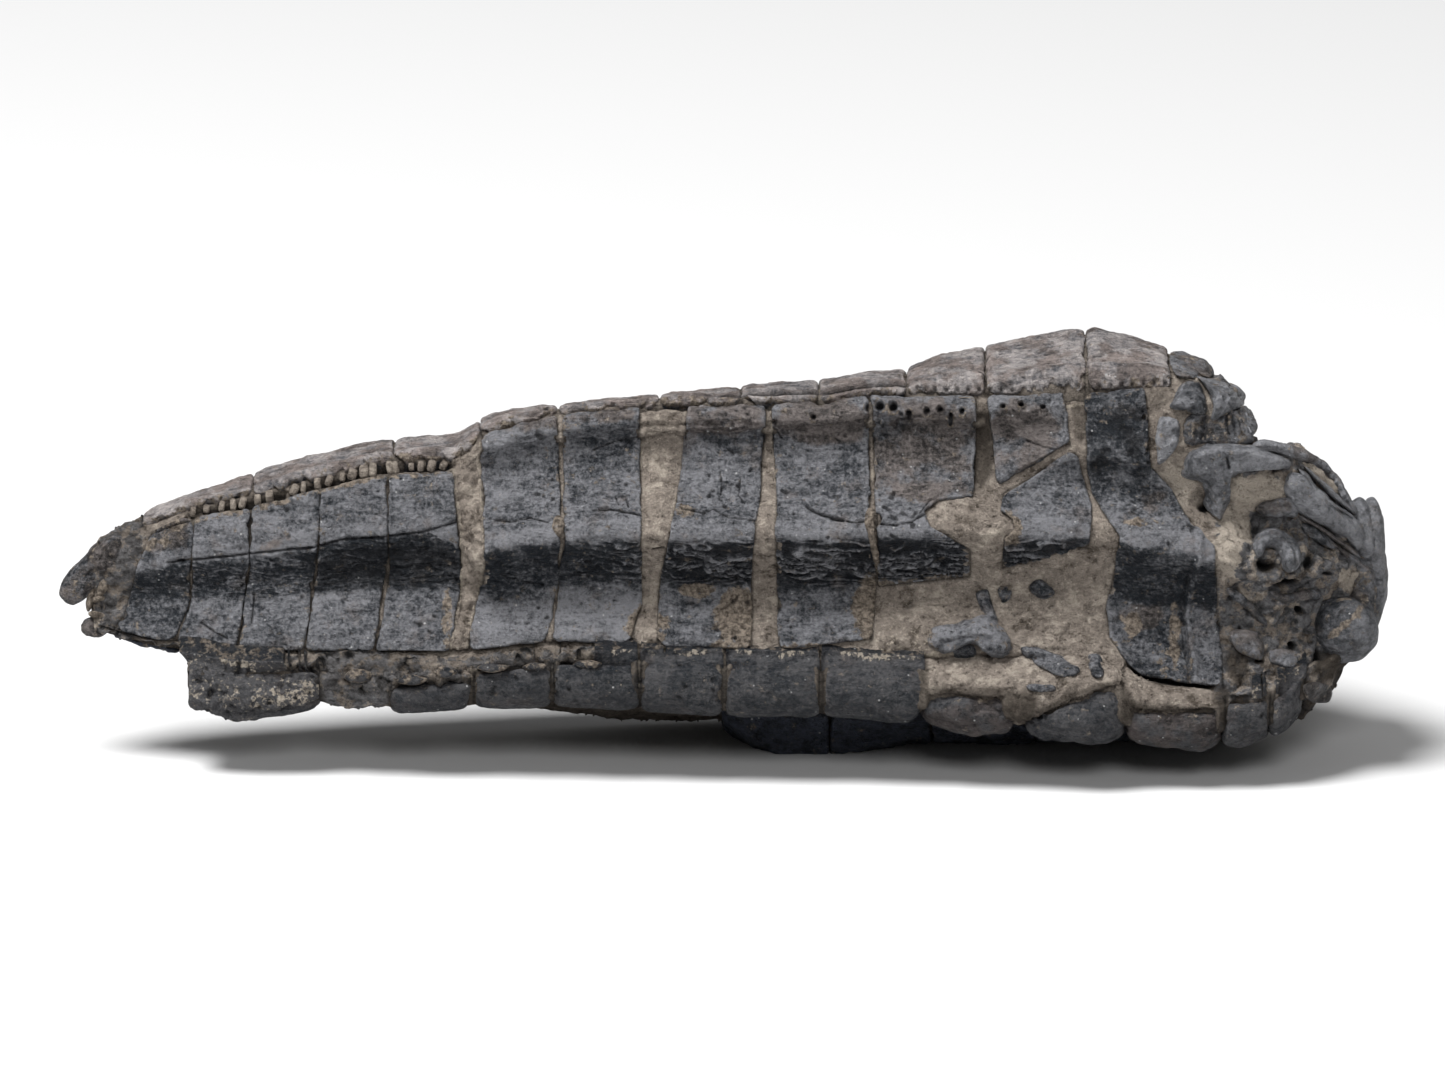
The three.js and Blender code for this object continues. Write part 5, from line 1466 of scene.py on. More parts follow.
def set_stone(
        outline, rise, seed, crown=4.0, lean=(0, 0), creases=(), rough=1.0, pale=0.6, sand=0.12, warm=0.0):
    """A stone set in the front of the crown.

    outline is its edge as (x, w), rise its height over the face and crown how flat its top is. lean
    raises it towards +x and +w. Each crease is a line, a half width and a depth."""
    edge = smooth_outline(outline, STONE_SPOKES)
    middle = edge.mean(axis=0)
    size = math.sqrt(np.ptp(edge[:, 0]) * np.ptp(edge[:, 1]))
    rings = max(14, int(size / 2 / STONE_RING_STEP))
    share = np.linspace(0.01, 1, rings) ** 0.85
    share = np.concatenate([share, [1.01, 1.0, 0.97, 0.92]])[:, None, None]
    flat = middle + (edge[None] - middle) * share
    x, w = flat[..., 0], flat[..., 1]
    level = np.concatenate([(1 - share[:rings, 0, 0] ** crown) ** 0.6, np.zeros(4)])[:, None]
    sunk = np.concatenate([np.zeros(rings), STONE_ROOT * np.array([0.15, 0.4, 0.7, 1.0])])[:, None]
    body = rise + lean[0] * (x - middle[0]) + lean[1] * (w - middle[1])
    points = np.stack([x, depth_at(x, w) + np.maximum(body, 0.15) * level - sunk, w], axis=-1)
    bulk = 0.2 * rubble(points, 2.6, 3, seed)
    detail = rough * (0.1 * rubble(points, 1.2, 3, seed + 2) + 0.04 * rubble(points, 0.45, 2, seed + 3))
    cut, hollow = np.zeros(x.shape), np.zeros(x.shape)
    waver = 0.1 * grain(points, 0.9, seed + 4)
    # Creases cut in are painted dark as shade.
    for line, wide, deep in creases:
        near = bell(distance_to(line, x, w) + waver, 0, wide)
        cut += deep * near
        if deep > 0:
            hollow = np.maximum(hollow, min(1.0, 1.6 * deep) * near)
    on_top = np.where(sunk > 0, 0.3, 1.0)
    points[..., 1] += (bulk + detail - cut) * on_top
    points[..., 0] += 0.1 * rubble(points, 1.1, 2, seed + 5) * (share[..., 0] > 0.3)
    points[..., 2] += 0.1 * rubble(points, 1.1, 2, seed + 6) * (share[..., 0] > 0.3)
    # Painted light and shade: the tone follows the relief, and the sunk root is darker.
    tone = pale + 2.0 * detail + 0.5 * bulk - 0.2 * (sunk > 0)
    dust = sand + 0.3 * ramp(0.5, 0.1, level) + 0.1 * rubble(points, 2, 2, seed + 7)
    return stone(points, warm, pale=tone, sand=dust, hollow=hollow)


def folded_stone(line, rise, seed, creases, pale, warm):
    """A rounded fold that follows a line of (x, w, half width).

    Each crease is its place across the fold from -1 to 1, its half width and its depth."""
    rows = np.asarray(line, float)
    walked = np.concatenate([[0], np.cumsum(np.hypot(np.diff(rows[:, 0]), np.diff(rows[:, 1])))])
    t = spread(walked[-1], FOLD_STEP)
    path = through(np.column_stack([walked, rows]), t * walked[-1])
    heading = unit(np.gradient(path[:, :2], axis=0))
    from_end = np.clip(np.minimum(t, 1 - t) * walked[-1] / 1.2, 0.01, 1)
    taper = np.sqrt(1 - (1 - from_end) ** 2)
    half = path[:, 2] * taper
    thick = max(rise, 0.8 * float(path[:, 2].max()))
    around = np.linspace(0, 2 * np.pi, FOLD_SPOKES, endpoint=False)[None, :]
    across, up = np.cos(around), np.sin(around)
    floor = np.convolve(np.pad(depth_at(path[:, 0], path[:, 1]), 6, mode="edge"), np.ones(13) / 13, mode="valid")
    x = path[:, :1] - heading[:, 1:] * half[:, None] * across
    w = path[:, 1:2] + heading[:, :1] * half[:, None] * across
    d = (floor + rise - thick)[:, None] + (thick * taper)[:, None] * np.sign(up) * np.abs(up) ** 0.8
    net = np.stack([x, d, w], axis=-1)
    bulk = 0.16 * rubble(net, 2.2, 2, seed + 3)
    detail = 0.08 * rubble(net, 1.0, 3, seed) + 0.03 * rubble(net, 0.4, 2, seed + 1)
    waver = 0.12 * grain(net, 1.6, seed + 2)
    cut, hollow = np.zeros(x.shape), np.zeros(x.shape)
    # Creases are cut in and painted dark as shade.
    for place, wide, deep in creases:
        near = bell(across + waver, place, wide) * ramp(0, 0.3, up) * taper[:, None]
        cut = cut + deep * near
        hollow = np.maximum(hollow, min(1.0, 1.5 * max(deep, 0)) * near)
    centre = np.stack([path[:, 0], floor + rise - thick, path[:, 1]], axis=-1)[:, None, :]
    net = net + unit(net - centre) * (bulk + detail - cut)[..., None]
    # Painted shade on the fold's underside, which also holds more sand; the tone follows the relief as painted light
    # and shade.
    low = 0.25 * ramp(0.5, 0.0, up)
    return stone(net, warm, pale=pale + 2.2 * detail + 0.8 * bulk - low, sand=0.05 + low, hollow=hollow)


def boulder(
        at, half, tilt_deg, seed, faces=(0, 1, 0), rough=1.0, flat=2.0, pale=0.55, sand=0.2, warm=0.4, streaks=()):
    """A rounded stone of that half length, half width and half height.

    Its height points to faces, an (x, d, w) direction. Its length lies level, tilted by tilt_deg. A
    larger flat makes it boxier."""
    turn = math.radians(tilt_deg)
    out = unit(faces)
    level = np.array([1.0, 0, 0]) if abs(out[0]) < 0.85 else np.array([0, -1.0, 0])
    level = unit(level - out * np.dot(out, level))
    long_way = level * math.cos(turn) + np.cross(level, out) * math.sin(turn)
    wide_way = np.cross(out, long_way)
    polar = np.linspace(0.03, np.pi - 0.03, BOULDER_RINGS)[:, None]
    around = np.linspace(0, 2 * np.pi, BOULDER_SPOKES, endpoint=False)[None, :]

    def square(value):
        return np.sign(value) * np.abs(value) ** (2 / flat)

    along_it, across_it = half[0] * square(np.cos(around)), half[1] * square(np.sin(around))
    away = square(np.sin(polar))[..., None] * (along_it[..., None] * long_way + across_it[..., None] * wide_way)
    points = np.asarray(at, float) + away + half[2] * square(np.cos(polar))[..., None] * out
    size = float(np.mean(half))
    bulk = 0.1 * size * rubble(points, 0.9 * size + 0.4, 3, seed)
    detail = rough * (0.1 * rubble(points, 1.0, 3, seed + 1) + 0.03 * rubble(points, 0.4, 2, seed + 2))
    dust = sand
    points = points + unit(points - at) * (bulk + detail)[..., None]
    for line, wide in streaks:
        near = distance_to(line, points[..., 0], points[..., 2]) + 0.2 * grain(points, 0.9, seed + 4)
        dust = np.maximum(dust, 0.85 * bell(near, 0, wide))
    # Painted shade in the dips, and painted light and shade following the relief.
    hollow = 0.7 * ramp(-0.12, -0.22, detail)
    return stone(points, warm, pale=pale + 2.0 * detail + 0.4 * bulk, sand=dust, hollow=hollow)


def add_stone(name, made, part, node=None):
    points, faces, wear_and_shade = made
    settle(make_piece(f"stone_{name}", points, faces, wear_and_shade, finish_for(part)), node)


# Stones of the cup that show in front. Each row: the CAD node that it stands for or a name of its own,
# its outline, its height and its settings for set_stone.
CUP_STONES = [
    ("cup_star_plate", [
        (48, 7.9), (48.75, 9.6), (50.1, 10.5), (51.6, 10.7), (53.7, 10.7), (55.2, 10.5), (56.8, 9.95), (58.5, 9.3),
        (59.45, 8.65), (59.2, 8.1), (56.7, 7.9), (54.4, 7.7), (53.5, 7.2), (52.75, 6.6), (52.65, 5.9), (53, 4.75),
        (52.9, 4.2), (52.2, 2.8), (51.8, 2.7), (50.3, 4.2), (50.5, 5.3), (50.1, 6.2), (49.2, 6.8), (48.1, 7.2)],
     1.7, {"crown": 4, "lean": (0, 0.2), "rough": 0.6, "pale": 0.62, "sand": 0.02, "creases": [
         ([(49.3, 9.3), (52, 9.8), (55, 9.8), (58.9, 8.8)], 0.6, -0.6), ([(51.8, 8.6), (51.7, 4)], 0.7, -0.5),
         ([(52.6, 9.2), (52.9, 8.1)], 0.14, 0.5)]}),
    ("cup_upper_knob", [
        (49.8, 17.75), (51.8, 17.5), (53.7, 17), (54.95, 16.1), (54.9, 15.2), (54.05, 14.4), (52.6, 13.8),
        (51.4, 12.95), (50.9, 13.1), (51.3, 14.6), (50.7, 16.1), (49.95, 17.2)],
     2.0, {"crown": 2.6, "lean": (-0.05, 0.14), "rough": 0.5, "pale": 0.75, "sand": 0.02, "creases": [
         ([(51.4, 16.9), (52.6, 15.6), (52.2, 14.4)], 0.3, 0.25)]}),
    ("shoulder_block", [
        (47.07, 20.2), (48.2, 20.5), (49.2, 20.2), (49.9, 19.6), (50.1, 18.6), (49.7, 17.75), (48.65, 17.4),
        (47.5, 17.75), (47, 18.9)],
     1.0, {"pale": 0.6, "warm": 0.3}),
    ("shoulder_chip", [(50.1, 19.2), (50.7, 19.1), (51.2, 18.5), (51.5, 18), (50.9, 17.7), (50.1, 18.1)],
     0.7, {"crown": 3, "pale": 0.5, "warm": 0.8}),
    ("dark_knob", [
        (47, 15.2), (47.7, 16.5), (48.75, 17.3), (49.9, 17), (50.4, 15.55), (50.7, 14.4), (50.3, 13.7), (48.5, 13.9),
        (46.8, 14.4)],
     1.6, {"crown": 2.6, "lean": (0, 0.14), "pale": 0.36, "rough": 1.5}),
    ("neck", [
        (48.4, 13.3), (50, 13.8), (51.6, 13.3), (53.7, 14.2), (54.6, 14.5), (55.2, 12.1), (55.4, 10.8), (52.6, 10.3),
        (50.3, 10.6), (48.9, 10.3), (48.2, 11.1)],
     0.6, {"crown": 6, "rough": 0.6, "pale": 0.45, "warm": 0.45, "sand": 0.2, "creases": [
         ([(52.6, 13.6), (52.9, 11.6)], 0.14, 0.35), ([(53.3, 13.9), (53.6, 11.4)], 0.14, 0.35),
         ([(54, 14.1), (54.3, 11.6)], 0.14, 0.35), ([(49.3, 13), (49, 11.3)], 0.3, -0.4),
         ([(50.4, 13.2), (50.2, 11.2)], 0.25, 0.4)]}),
    ("side_knob", [
        (54.6, 14.6), (55.4, 14.3), (55.9, 13.1), (55.9, 12.2), (55.3, 11.3), (54.9, 12.2)],
     0.9, {"crown": 2.6, "pale": 0.45, "warm": 0.3}),
    ("blue_plate", [
        (45.86, 13.5), (47, 13.3), (47.7, 12.6), (47.8, 11.3), (47.2, 10), (46.2, 8.85), (45.5, 8.5), (45.3, 9.6),
        (45.2, 11.45), (45.5, 12.9)],
     0.8, {"crown": 5, "pale": 0.75, "rough": 1.3, "sand": 0.02}),
    ("crumb_block", [(53.1, -9.2), (55.2, -8.9), (56.6, -10), (56.6, -11.9), (55.2, -11.8), (53.7, -10.9)],
     0.8, {"crown": 3, "pale": 0.7, "warm": 0.5}),
    ("crumb_block_2", [(57.3, -11.1), (58.8, -10.9), (60.3, -11.5), (60.3, -12.9), (58.6, -12.9), (57.3, -12.3)],
     0.8, {"crown": 3, "pale": 0.6, "warm": 0.2}),
    ("crumb_wedge", [(60.5, 2.2), (62, 2), (63.9, 0.6), (64.4, -0.6), (63, 0), (61.3, 1)],
     0.8, {"crown": 3, "pale": 0.25, "rough": 1.6}),
    ("crumb_low", [(60.9, -14.7), (62.6, -14.5), (63.9, -15.2), (63.7, -16.4), (62.2, -16.6), (61, -16)],
     0.7, {"crown": 3, "pale": 0.08, "rough": 1.4, "warm": 0.75}),
]
# Folds of the cup: name, line of (x, w, half width), height, creases, tone and stain.
CUP_FOLDS = [
    ("cup_inner_knob", [
        (55.9, -1.4, 0.5), (56.3, 0.3, 0.85), (57.6, 0.75, 1.05), (58.9, 0, 1.1), (59.5, -1.3, 1.0),
        (59.2, -2.9, 0.75)],
     2.0, [(0.5, 0.16, 0.2)], 0.5, 0.05),
    ("cup_wrinkled_basal", [
        (59.3, 7.6, 0.9), (60.2, 6, 1.5), (61.8, 4.4, 1.6), (63.5, 3, 1.2), (65.2, 2.2, 1.2), (66.3, 1, 1.1),
        (66.9, -0.6, 0.7)],
     1.9, [(-0.35, 0.2, -0.15)], 0.95, 0.0),
    ("cup_ridge", [
        (60.3, 8, 0.24), (61.2, 6.9, 0.32), (62.8, 5, 0.34), (64.5, 3.9, 0.32), (65.9, 3, 0.28), (66.4, 2.2, 0.2)],
     1.7, [], 0.8, 0.1),
    ("cup_outer_ridge", [(60.9, 8.3, 0.2), (62.2, 7, 0.28), (63.8, 5.5, 0.3), (65.3, 4.2, 0.28), (66.5, 3.3, 0.2)],
     1.5, [], 0.7, 0.2),
    ("cup_second_basal", [
        (55.7, 3.8, 0.5), (57.1, 3.9, 0.95), (58.7, 4, 1.0), (60.2, 3.1, 0.75)],
     1.2, [(0.2, 0.2, 0.2)], 0.5, 0.4),
    ("cup_thin_ridge", [(60.4, 3, 0.22), (62.4, 1.9, 0.28), (64.3, 0.6, 0.3), (65.9, -0.5, 0.28), (67.1, -1.5, 0.22)],
     1.3, [], 0.75, 0.7),
    ("cup_low_ridge", [(62.7, 1, 0.2), (65, -0.6, 0.25), (66.9, -2, 0.28), (68.2, -3, 0.25), (68.9, -4.6, 0.2)],
     0.9, [], 0.6, 0.6),
    ("cup_shell_rim", [
        (55.4, 10.4, 0.4), (56.8, 10.4, 0.55), (59.6, 9.8, 0.6), (61.5, 9.1, 0.6), (63.3, 7.8, 0.6), (64.7, 6.1, 0.55),
        (65.6, 4.6, 0.5), (66.4, 3.3, 0.4)],
     1.3, [(-0.3, 0.3, 0.12)], 0.85, 0.2),
    ("cup_crumb_ridge", [(57.2, -4.9, 0.35), (58.8, -5.6, 0.5), (61, -5.2, 0.5), (62.8, -5.3, 0.35)],
     0.8, [], 0.42, 0.3),
    ("cup_crumb_ridge_2", [(52.7, -4.6, 0.3), (54.4, -5.9, 0.5), (56, -7.3, 0.45), (57, -8.6, 0.3)],
     0.6, [], 0.45, 0.5),
]
# The folds that stand for a CAD node, and the rounded stones that stand for none.
NODE_FOLDS = ("cup_wrinkled_basal", "cup_inner_knob")
LOOSE_BOULDERS = ("cup_end_fold", "cup_end_roll", "cup_end_edge")
LOBE_STREAKS = [([(64.4, -5.9), (66.5, -5.5)], 0.22), ([(63.7, -9.7), (66.5, -7.3), (67.5, -5.7)], 0.3)]
SMOOTH = {"pale": 0.5, "sand": 0.02, "warm": 0.05, "rough": 0.6}
# Rounded stones that show in front or close the cup behind: node or name, middle (x, d, w), half sizes,
# tilt, facing and other settings. One with no facing has its height over the face in place of d.
CUP_BOULDERS = [
    ("cup_lower_lobe", (65.1, 3.6, -8.7), (3.8, 3.6, 3.6), 8, None,
     dict(SMOOTH, pale=0.33, rough=0.35, flat=2.1, streaks=LOBE_STREAKS)),
    ("cup_end_fold", (67.2, 1.3, 1.7), (3.3, 1.2, 2.6), 100, None, dict(SMOOTH, pale=0.7, flat=2.6)),
    ("cup_end_roll", (68.4, 1.6, 0.3), (4.6, 1.2, 3.0), 94, None, dict(SMOOTH, pale=0.6, flat=2.6)),
    ("cup_end_edge", (68.5, 1.5, -4.6), (4.6, 1.3, 3.4), 86, None, dict(SMOOTH, flat=2.6)),
    ("cup_upper_basal", (60, 0.8, 5), (6.4, 5.4, 2.6), -20, (0.6, 0.1, 0.78), {}),
    ("cup_end_plate", (66.4, -3, -4), (8.5, 5.2, 2.5), 0, (0.98, -0.1, 0.02), {}),
    # Its low pale value is painted shade: it lies in the dark recess under the lower lobe.
    ("cup_lower_plate", (61.2, 1.3, -13.9), (4.8, 3.6, 1.7), 0, (0.6, 0.2, -0.75),
     {"pale": 0.05, "sand": 0.1, "warm": 0.6}),
    ("cup_shoulder_knob", (48.9, 1, 17.6), (2.5, 4, 2.4), 0, (0.25, 0.05, 0.95), {}),
    ("cup_rear_basal", (58, -9.5, 0), (7, 8.6, 3), 10, (0.55, -0.85, 0.05), {}),
]


def build_cup():
    seed = first_seed("cup")
    for name, outline, rise, settings in CUP_STONES:
        seed += SEED_STEP
        node = name if name.startswith("cup_") else None
        made = set_stone(outline, rise, seed, **settings)
        add_stone(name if node else f"cup_{name}", made, "cup", node)
    for name, line, rise, creases, pale, warm in CUP_FOLDS:
        seed += SEED_STEP
        made = folded_stone(line, rise, seed, creases, pale, warm)
        add_stone(name, made, "cup", name if name in NODE_FOLDS else None)
    for name, at, half, tilt, faces, settings in CUP_BOULDERS:
        seed += SEED_STEP
        if faces is None:
            at, faces = (at[0], depth_at(at[0], at[2]) + at[1] - half[2], at[2]), (0, 1, 0)
        made = boulder(at, half, tilt, seed, faces, **{"flat": 2.6, "pale": 0.45, "sand": 0.3, **settings})
        add_stone(name, made, "cup", None if name in LOOSE_BOULDERS else name)


# Bits of plate in the sandstone and in two gaps: name, outline, height and settings for set_stone.
FRAGMENTS = [
    ("fragment_large", [
        (21.2, -10), (22, -8.6), (24, -8.2), (27.6, -7.2), (29, -8.4), (30.2, -10.4), (29.8, -11.7),
        (28.1, -11.8), (26.1, -10.4), (23.7, -11.3), (22.4, -11.3)],
     1.7, {"lean": (0.1, -0.05), "pale": 0.8, "sand": 0.1, "rough": 1.3, "creases": [
         ([(23, -10.3), (26, -9.6), (28, -9.8)], 0.3, 0.3)]}),
    ("fragment_large_foot", [(24, -10.8), (25.7, -10.3), (26.4, -11.3), (25.8, -12.4), (24.4, -12.1)],
     0.6, {"pale": 0.2}),
    ("fragment_long", [(26.5, -5), (27.6, -4.7), (28.1, -6.3), (28.8, -8), (27.8, -7.8), (26.8, -6.4)],
     0.9, {"pale": 0.3, "sand": 0.05}),
    ("fragment_round", [(32, -4.2), (33.1, -3.6), (34.2, -4.3), (34.6, -5.2), (33.5, -5.7), (32.4, -5.1)],
     0.9, {"crown": 2.4, "pale": 0.2, "sand": 0.05}),
    ("fragment_small", [(28.7, -4.6), (29.9, -4.3), (30.1, -5.6), (29.1, -6)], 0.4, {"pale": 0.4, "sand": 0.3}),
    ("fragment_slab", [
        (31, -10.8), (32.2, -10.6), (34.3, -11.2), (36.7, -12.5), (37.3, -13.3), (35.6, -13.9), (33.5, -13.1),
        (31.8, -12.1)],
     1.4, {"lean": (0, 0.15), "pale": 0.6, "sand": 0.05, "rough": 1.3}),
    ("fragment_thin", [(31.8, -14.7), (34.3, -14.6), (34.6, -15.3), (32.2, -15.4)], 0.5, {"pale": 0.4}),
    ("fragment_end", [(38.2, -11.5), (39.6, -11.7), (39.8, -13.6), (38.5, -13.7)], 0.9, {"pale": 0.45}),
    ("gap_bulb", [(-17.7, 3), (-17.1, 3), (-16.8, 2), (-17.2, 0.9), (-17.8, 1.1), (-18.1, 2)],
     0.45, {"crown": 2.4, "pale": 0.9, "sand": 0.95}),
    ("gap_sliver", [
        (14.9, 3.6), (15.6, 3.7), (15.5, 1.8), (16.1, -0.8), (16.3, -3), (15.8, -2.6), (15.2, 0.2), (14.7, 2.2)],
     0.55, {"pale": 1.0, "sand": 0.98}),
]
# Rounded stones and thin walls of the worn tip: name, middle, half sizes, tilt and settings for boulder.
TIP_STONES = [
    ("tip_stub", (-67.1, 0.3, -2.9), (4.1, 1.7, 1.8), 48, {"flat": 2.4, "pale": 0.25, "sand": 0.2, "warm": 0.6}),
    ("tip_pebble", (-66.5, 0.2, -8.7), (1.45, 1.1, 1.1), 5, {"flat": 2.3, "pale": 0.2, "sand": 0.1}),
    ("tip_crest", (-64.9, 0.8, -0.7), (2.9, 1.5, 1.9), 36, {"flat": 2.3, "pale": 0.4, "sand": 0.15, "warm": 0.6}),
    ("tip_shoulder", (-65.4, 1.6, -1.8), (1.2, 0.9, 1.2), 20, {"pale": 0.4, "sand": 0.1}),
    ("tip_wall", (-65.3, 0.9, -3.6), (2.4, 0.6, 1.1), 66, {"pale": 0.65, "sand": 0.95}),
    ("tip_wall_left", (-67, 0.6, -5.6), (1.5, 0.4, 0.9), 80, {"pale": 0.7, "sand": 0.95}),
    ("tip_web", (-66.3, 0.9, -5.7), (0.9, 0.35, 0.9), 10, {"pale": 0.7, "sand": 1}),
    ("tip_web_low", (-66.2, 0.9, -7.4), (1.0, 0.35, 0.9), -10, {"pale": 0.7, "sand": 0.9}),
]
# Crumbs in the band over the lower arm: x, w, half length and half height.
BAND_CRUMBS = [
    (-33, -14.2, 1.6, 0.5), (-29.4, -13.4, 1.2, 0.6), (-24.4, -12.9, 1.6, 0.45), (-20, -12.8, 1.3, 0.4),
    (-14.5, -12.6, 1.5, 0.4), (-38.6, -13.8, 1.4, 0.7),
]


def build_fragments():
    """Broken bits of plate in the sandstone, the worn tip and the crumbs over the lower arm."""
    seed = first_seed("fragments")
    for name, outline, rise, settings in FRAGMENTS:
        made = set_stone(outline, rise, seed, **{"crown": 3, **settings})
        add_stone(name, made, "front")
        seed += SEED_STEP
    for name, at, half, tilt, settings in TIP_STONES:
        made = boulder(at, half, tilt, seed, **{"flat": 2.2, **settings})
        add_stone(name, made, "front")
        seed += SEED_STEP
    seed = first_seed("crumbs")
    for k, (x, w, half_x, half_w) in enumerate(BAND_CRUMBS):
        outline = [
            (x - half_x, w), (x - 0.4 * half_x, w + half_w), (x + 0.6 * half_x, w + 0.8 * half_w),
            (x + half_x, w), (x + 0.3 * half_x, w - half_w), (x - 0.6 * half_x, w - 0.8 * half_w)]
        made = set_stone(outline, 0.5, seed, crown=3, pale=0.5, sand=0.4, rough=1.6)
        add_stone(f"band_crumb_{k + 1}", made, "lower")
        seed += SEED_STEP


# --- sockets and grains
class Graph(Nodes):
    """A Geometry Nodes tree with one geometry in and one out, and a number for each named size."""

    def __init__(self, name, *sizes):
        self.tree = bpy.data.node_groups.new(name, "GeometryNodeTree")
        socket = self.tree.interface.new_socket
        socket("Geometry", in_out="INPUT", socket_type="NodeSocketGeometry")
        self.inputs = {key: socket(key, in_out="INPUT", socket_type="NodeSocketFloat").identifier for key in sizes}
        socket("Geometry", in_out="OUTPUT", socket_type="NodeSocketGeometry")
        self.start = self.add("NodeGroupInput").outputs

    def named(self, attribute, kind="FLOAT"):
        node = self.add("GeometryNodeInputNamedAttribute", {"Name": attribute}, data_type=kind)
        return node.outputs["Attribute"]

    def place(self, points, shape, turn, size, material):
        """The tree's end: a shape on each point, all made one mesh with a material."""
        placed = self.add("GeometryNodeInstanceOnPoints", {
            "Points": points, "Instance": shape, "Rotation": turn, "Scale": size})
        real = self.add("GeometryNodeRealizeInstances", {"Geometry": placed.outputs["Instances"]})
        stone = self.add("GeometryNodeSetMaterial", {"Geometry": real.outputs["Geometry"], "Material": material})
        self.add("NodeGroupOutput", {"Geometry": stone.outputs["Geometry"]})

    def run(self, source, name, values, material):
        """The tree's result on a source object, as a plain mesh object; the source is removed."""
        modifier = source.modifiers.new("work", "NODES")
        modifier.node_group = self.tree
        for key, value in values.items():
            modifier[self.inputs[key]] = value
        bpy.context.view_layer.update()
        evaluated = source.evaluated_get(bpy.context.evaluated_depsgraph_get())
        mesh = bpy.data.meshes.new_from_object(evaluated)
        mesh.name = name
        bpy.data.objects.remove(source)
        if not mesh.polygons:
            raise RuntimeError(f"{name} came out empty")
        if not mesh.materials:
            mesh.materials.append(material)
        piece = bpy.data.objects.new(name, mesh)
        bpy.context.collection.objects.link(piece)
        return piece


def socket_graph(material):
    """A short worn wall on each point, as wide, tall and turned as the point's own values say."""
    g = Graph("seam sockets", "Height", "Wall")
    block = g.add("GeometryNodeMeshCube", {
        "Size": (2.1, 2.1, 2.1), "Vertices X": 3, "Vertices Y": 3, "Vertices Z": 3})
    rounded = g.add("GeometryNodeSubdivisionSurface", {"Mesh": block.outputs["Mesh"], "Level": 1})
    reach = g.add("ShaderNodeCombineXYZ", {"X": g.start["Wall"], "Y": g.start["Height"], "Z": g.start["Height"]})
    shaped = g.add("GeometryNodeTransform", {
        "Geometry": rounded.outputs["Mesh"], "Scale": reach.outputs["Vector"]})
    worn = g.add("GeometryNodeStoreNamedAttribute", {
        "Geometry": shaped.outputs["Geometry"], "Name": "cream", "Value": 0.16}, data_type="FLOAT", domain="POINT")
    g.place(
        g.start["Geometry"], worn.outputs["Geometry"], g.named("turn", "FLOAT_VECTOR"),
        g.named("size", "FLOAT_VECTOR"), material)
    return g


def grain_graph(material, seed):
    """Small rough grains scattered where a surface's open mask allows."""
    g = Graph("sand grains", "Density", "Radius")
    share = g.add("ShaderNodeMath", {0: g.start["Density"], 1: g.named("open")}, operation="MULTIPLY")
    scattered = g.add("GeometryNodeDistributePointsOnFaces", {
        "Mesh": g.start["Geometry"], "Density": share.outputs[0], "Seed": seed})
    ball = g.add("GeometryNodeMeshIcoSphere", {"Radius": g.start["Radius"], "Subdivisions": 2})
    turned = g.add("FunctionNodeRandomValue", {"Max": (6.28, 6.28, 6.28), "Seed": seed + 1}, data_type="FLOAT_VECTOR")
    sized = g.add("FunctionNodeRandomValue", {
        "Min": (0.35, 0.3, 0.25), "Max": (1.2, 0.9, 0.7), "Seed": seed + 2}, data_type="FLOAT_VECTOR")
    g.place(
        scattered.outputs["Points"], ball.outputs["Mesh"], turned.outputs["Value"], sized.outputs["Value"], material)
    return g


SOCKET_V, SOCKET_FLOOR = 0.031, -0.6  # where the walls stand on the front arm, and how deep


def build_sockets():
    """The walls between the small sockets along the seam of the top and front arms."""
    dice = np.random.default_rng(sizes().seed)
    x = np.concatenate([np.arange(first, last, pitch) for first, last, pitch in SOCKET_RUNS if last < -20])
    x = x + 0.15 * dice.standard_normal(x.size)
    points = arm_face("front", x, SOCKET_V)
    points[:, 1] += SOCKET_FLOOR + 0.08 * dice.standard_normal(x.size)
    mesh = bpy.data.meshes.new("socket walls")
    mesh.from_pydata(seated(points).tolist(), [], [])
    turn = np.stack([0.1 * dice.standard_normal(x.size), 0.16 * dice.standard_normal(x.size) + 0.1, 0 * x], axis=-1)
    size = np.exp(0.16 * dice.standard_normal((x.size, 3)))
    for name, values in (("turn", turn), ("size", size)):
        mesh.attributes.new(name, "FLOAT_VECTOR", "POINT").data.foreach_set("vector", values.astype(np.float32).ravel())
    source = bpy.data.objects.new("socket walls", mesh)
    bpy.context.collection.objects.link(source)
    material = finish_for("matrix")
    values = {"Height": sizes().socket_height, "Wall": sizes().socket_wall}
    piece = socket_graph(material).run(source, "stone_seam_sockets", values, material)
    settle(piece)


def build_grains():
    """Coarse grains that stand out of the open sandstone."""
    source = bpy.data.objects["stone_matrix"].copy()
    source.data = source.data.copy()
    source.name = "grain ground"
    bpy.context.collection.objects.link(source)
    material = finish_for("matrix")
    values = {"Density": sizes().grain_density / MM**2, "Radius": sizes().grain_radius}
    piece = grain_graph(material, sizes().seed).run(source, "stone_sand_grains", values, material)
    settle(piece)


# --- stage
FLOOR_WIDTH, FLOOR_ROUGHNESS, FLOOR_SHINE = 6.0, 0.9, 0.1
LIGHTS_AIM, LIGHT_WIDTH = Vector((0, 0, 0.02)), 0.55
SENSOR_MM, FARTHEST = 36.0, 100.0
CAMERA_AIM = (-0.26, 8.0, 0.3)  # x, d, w


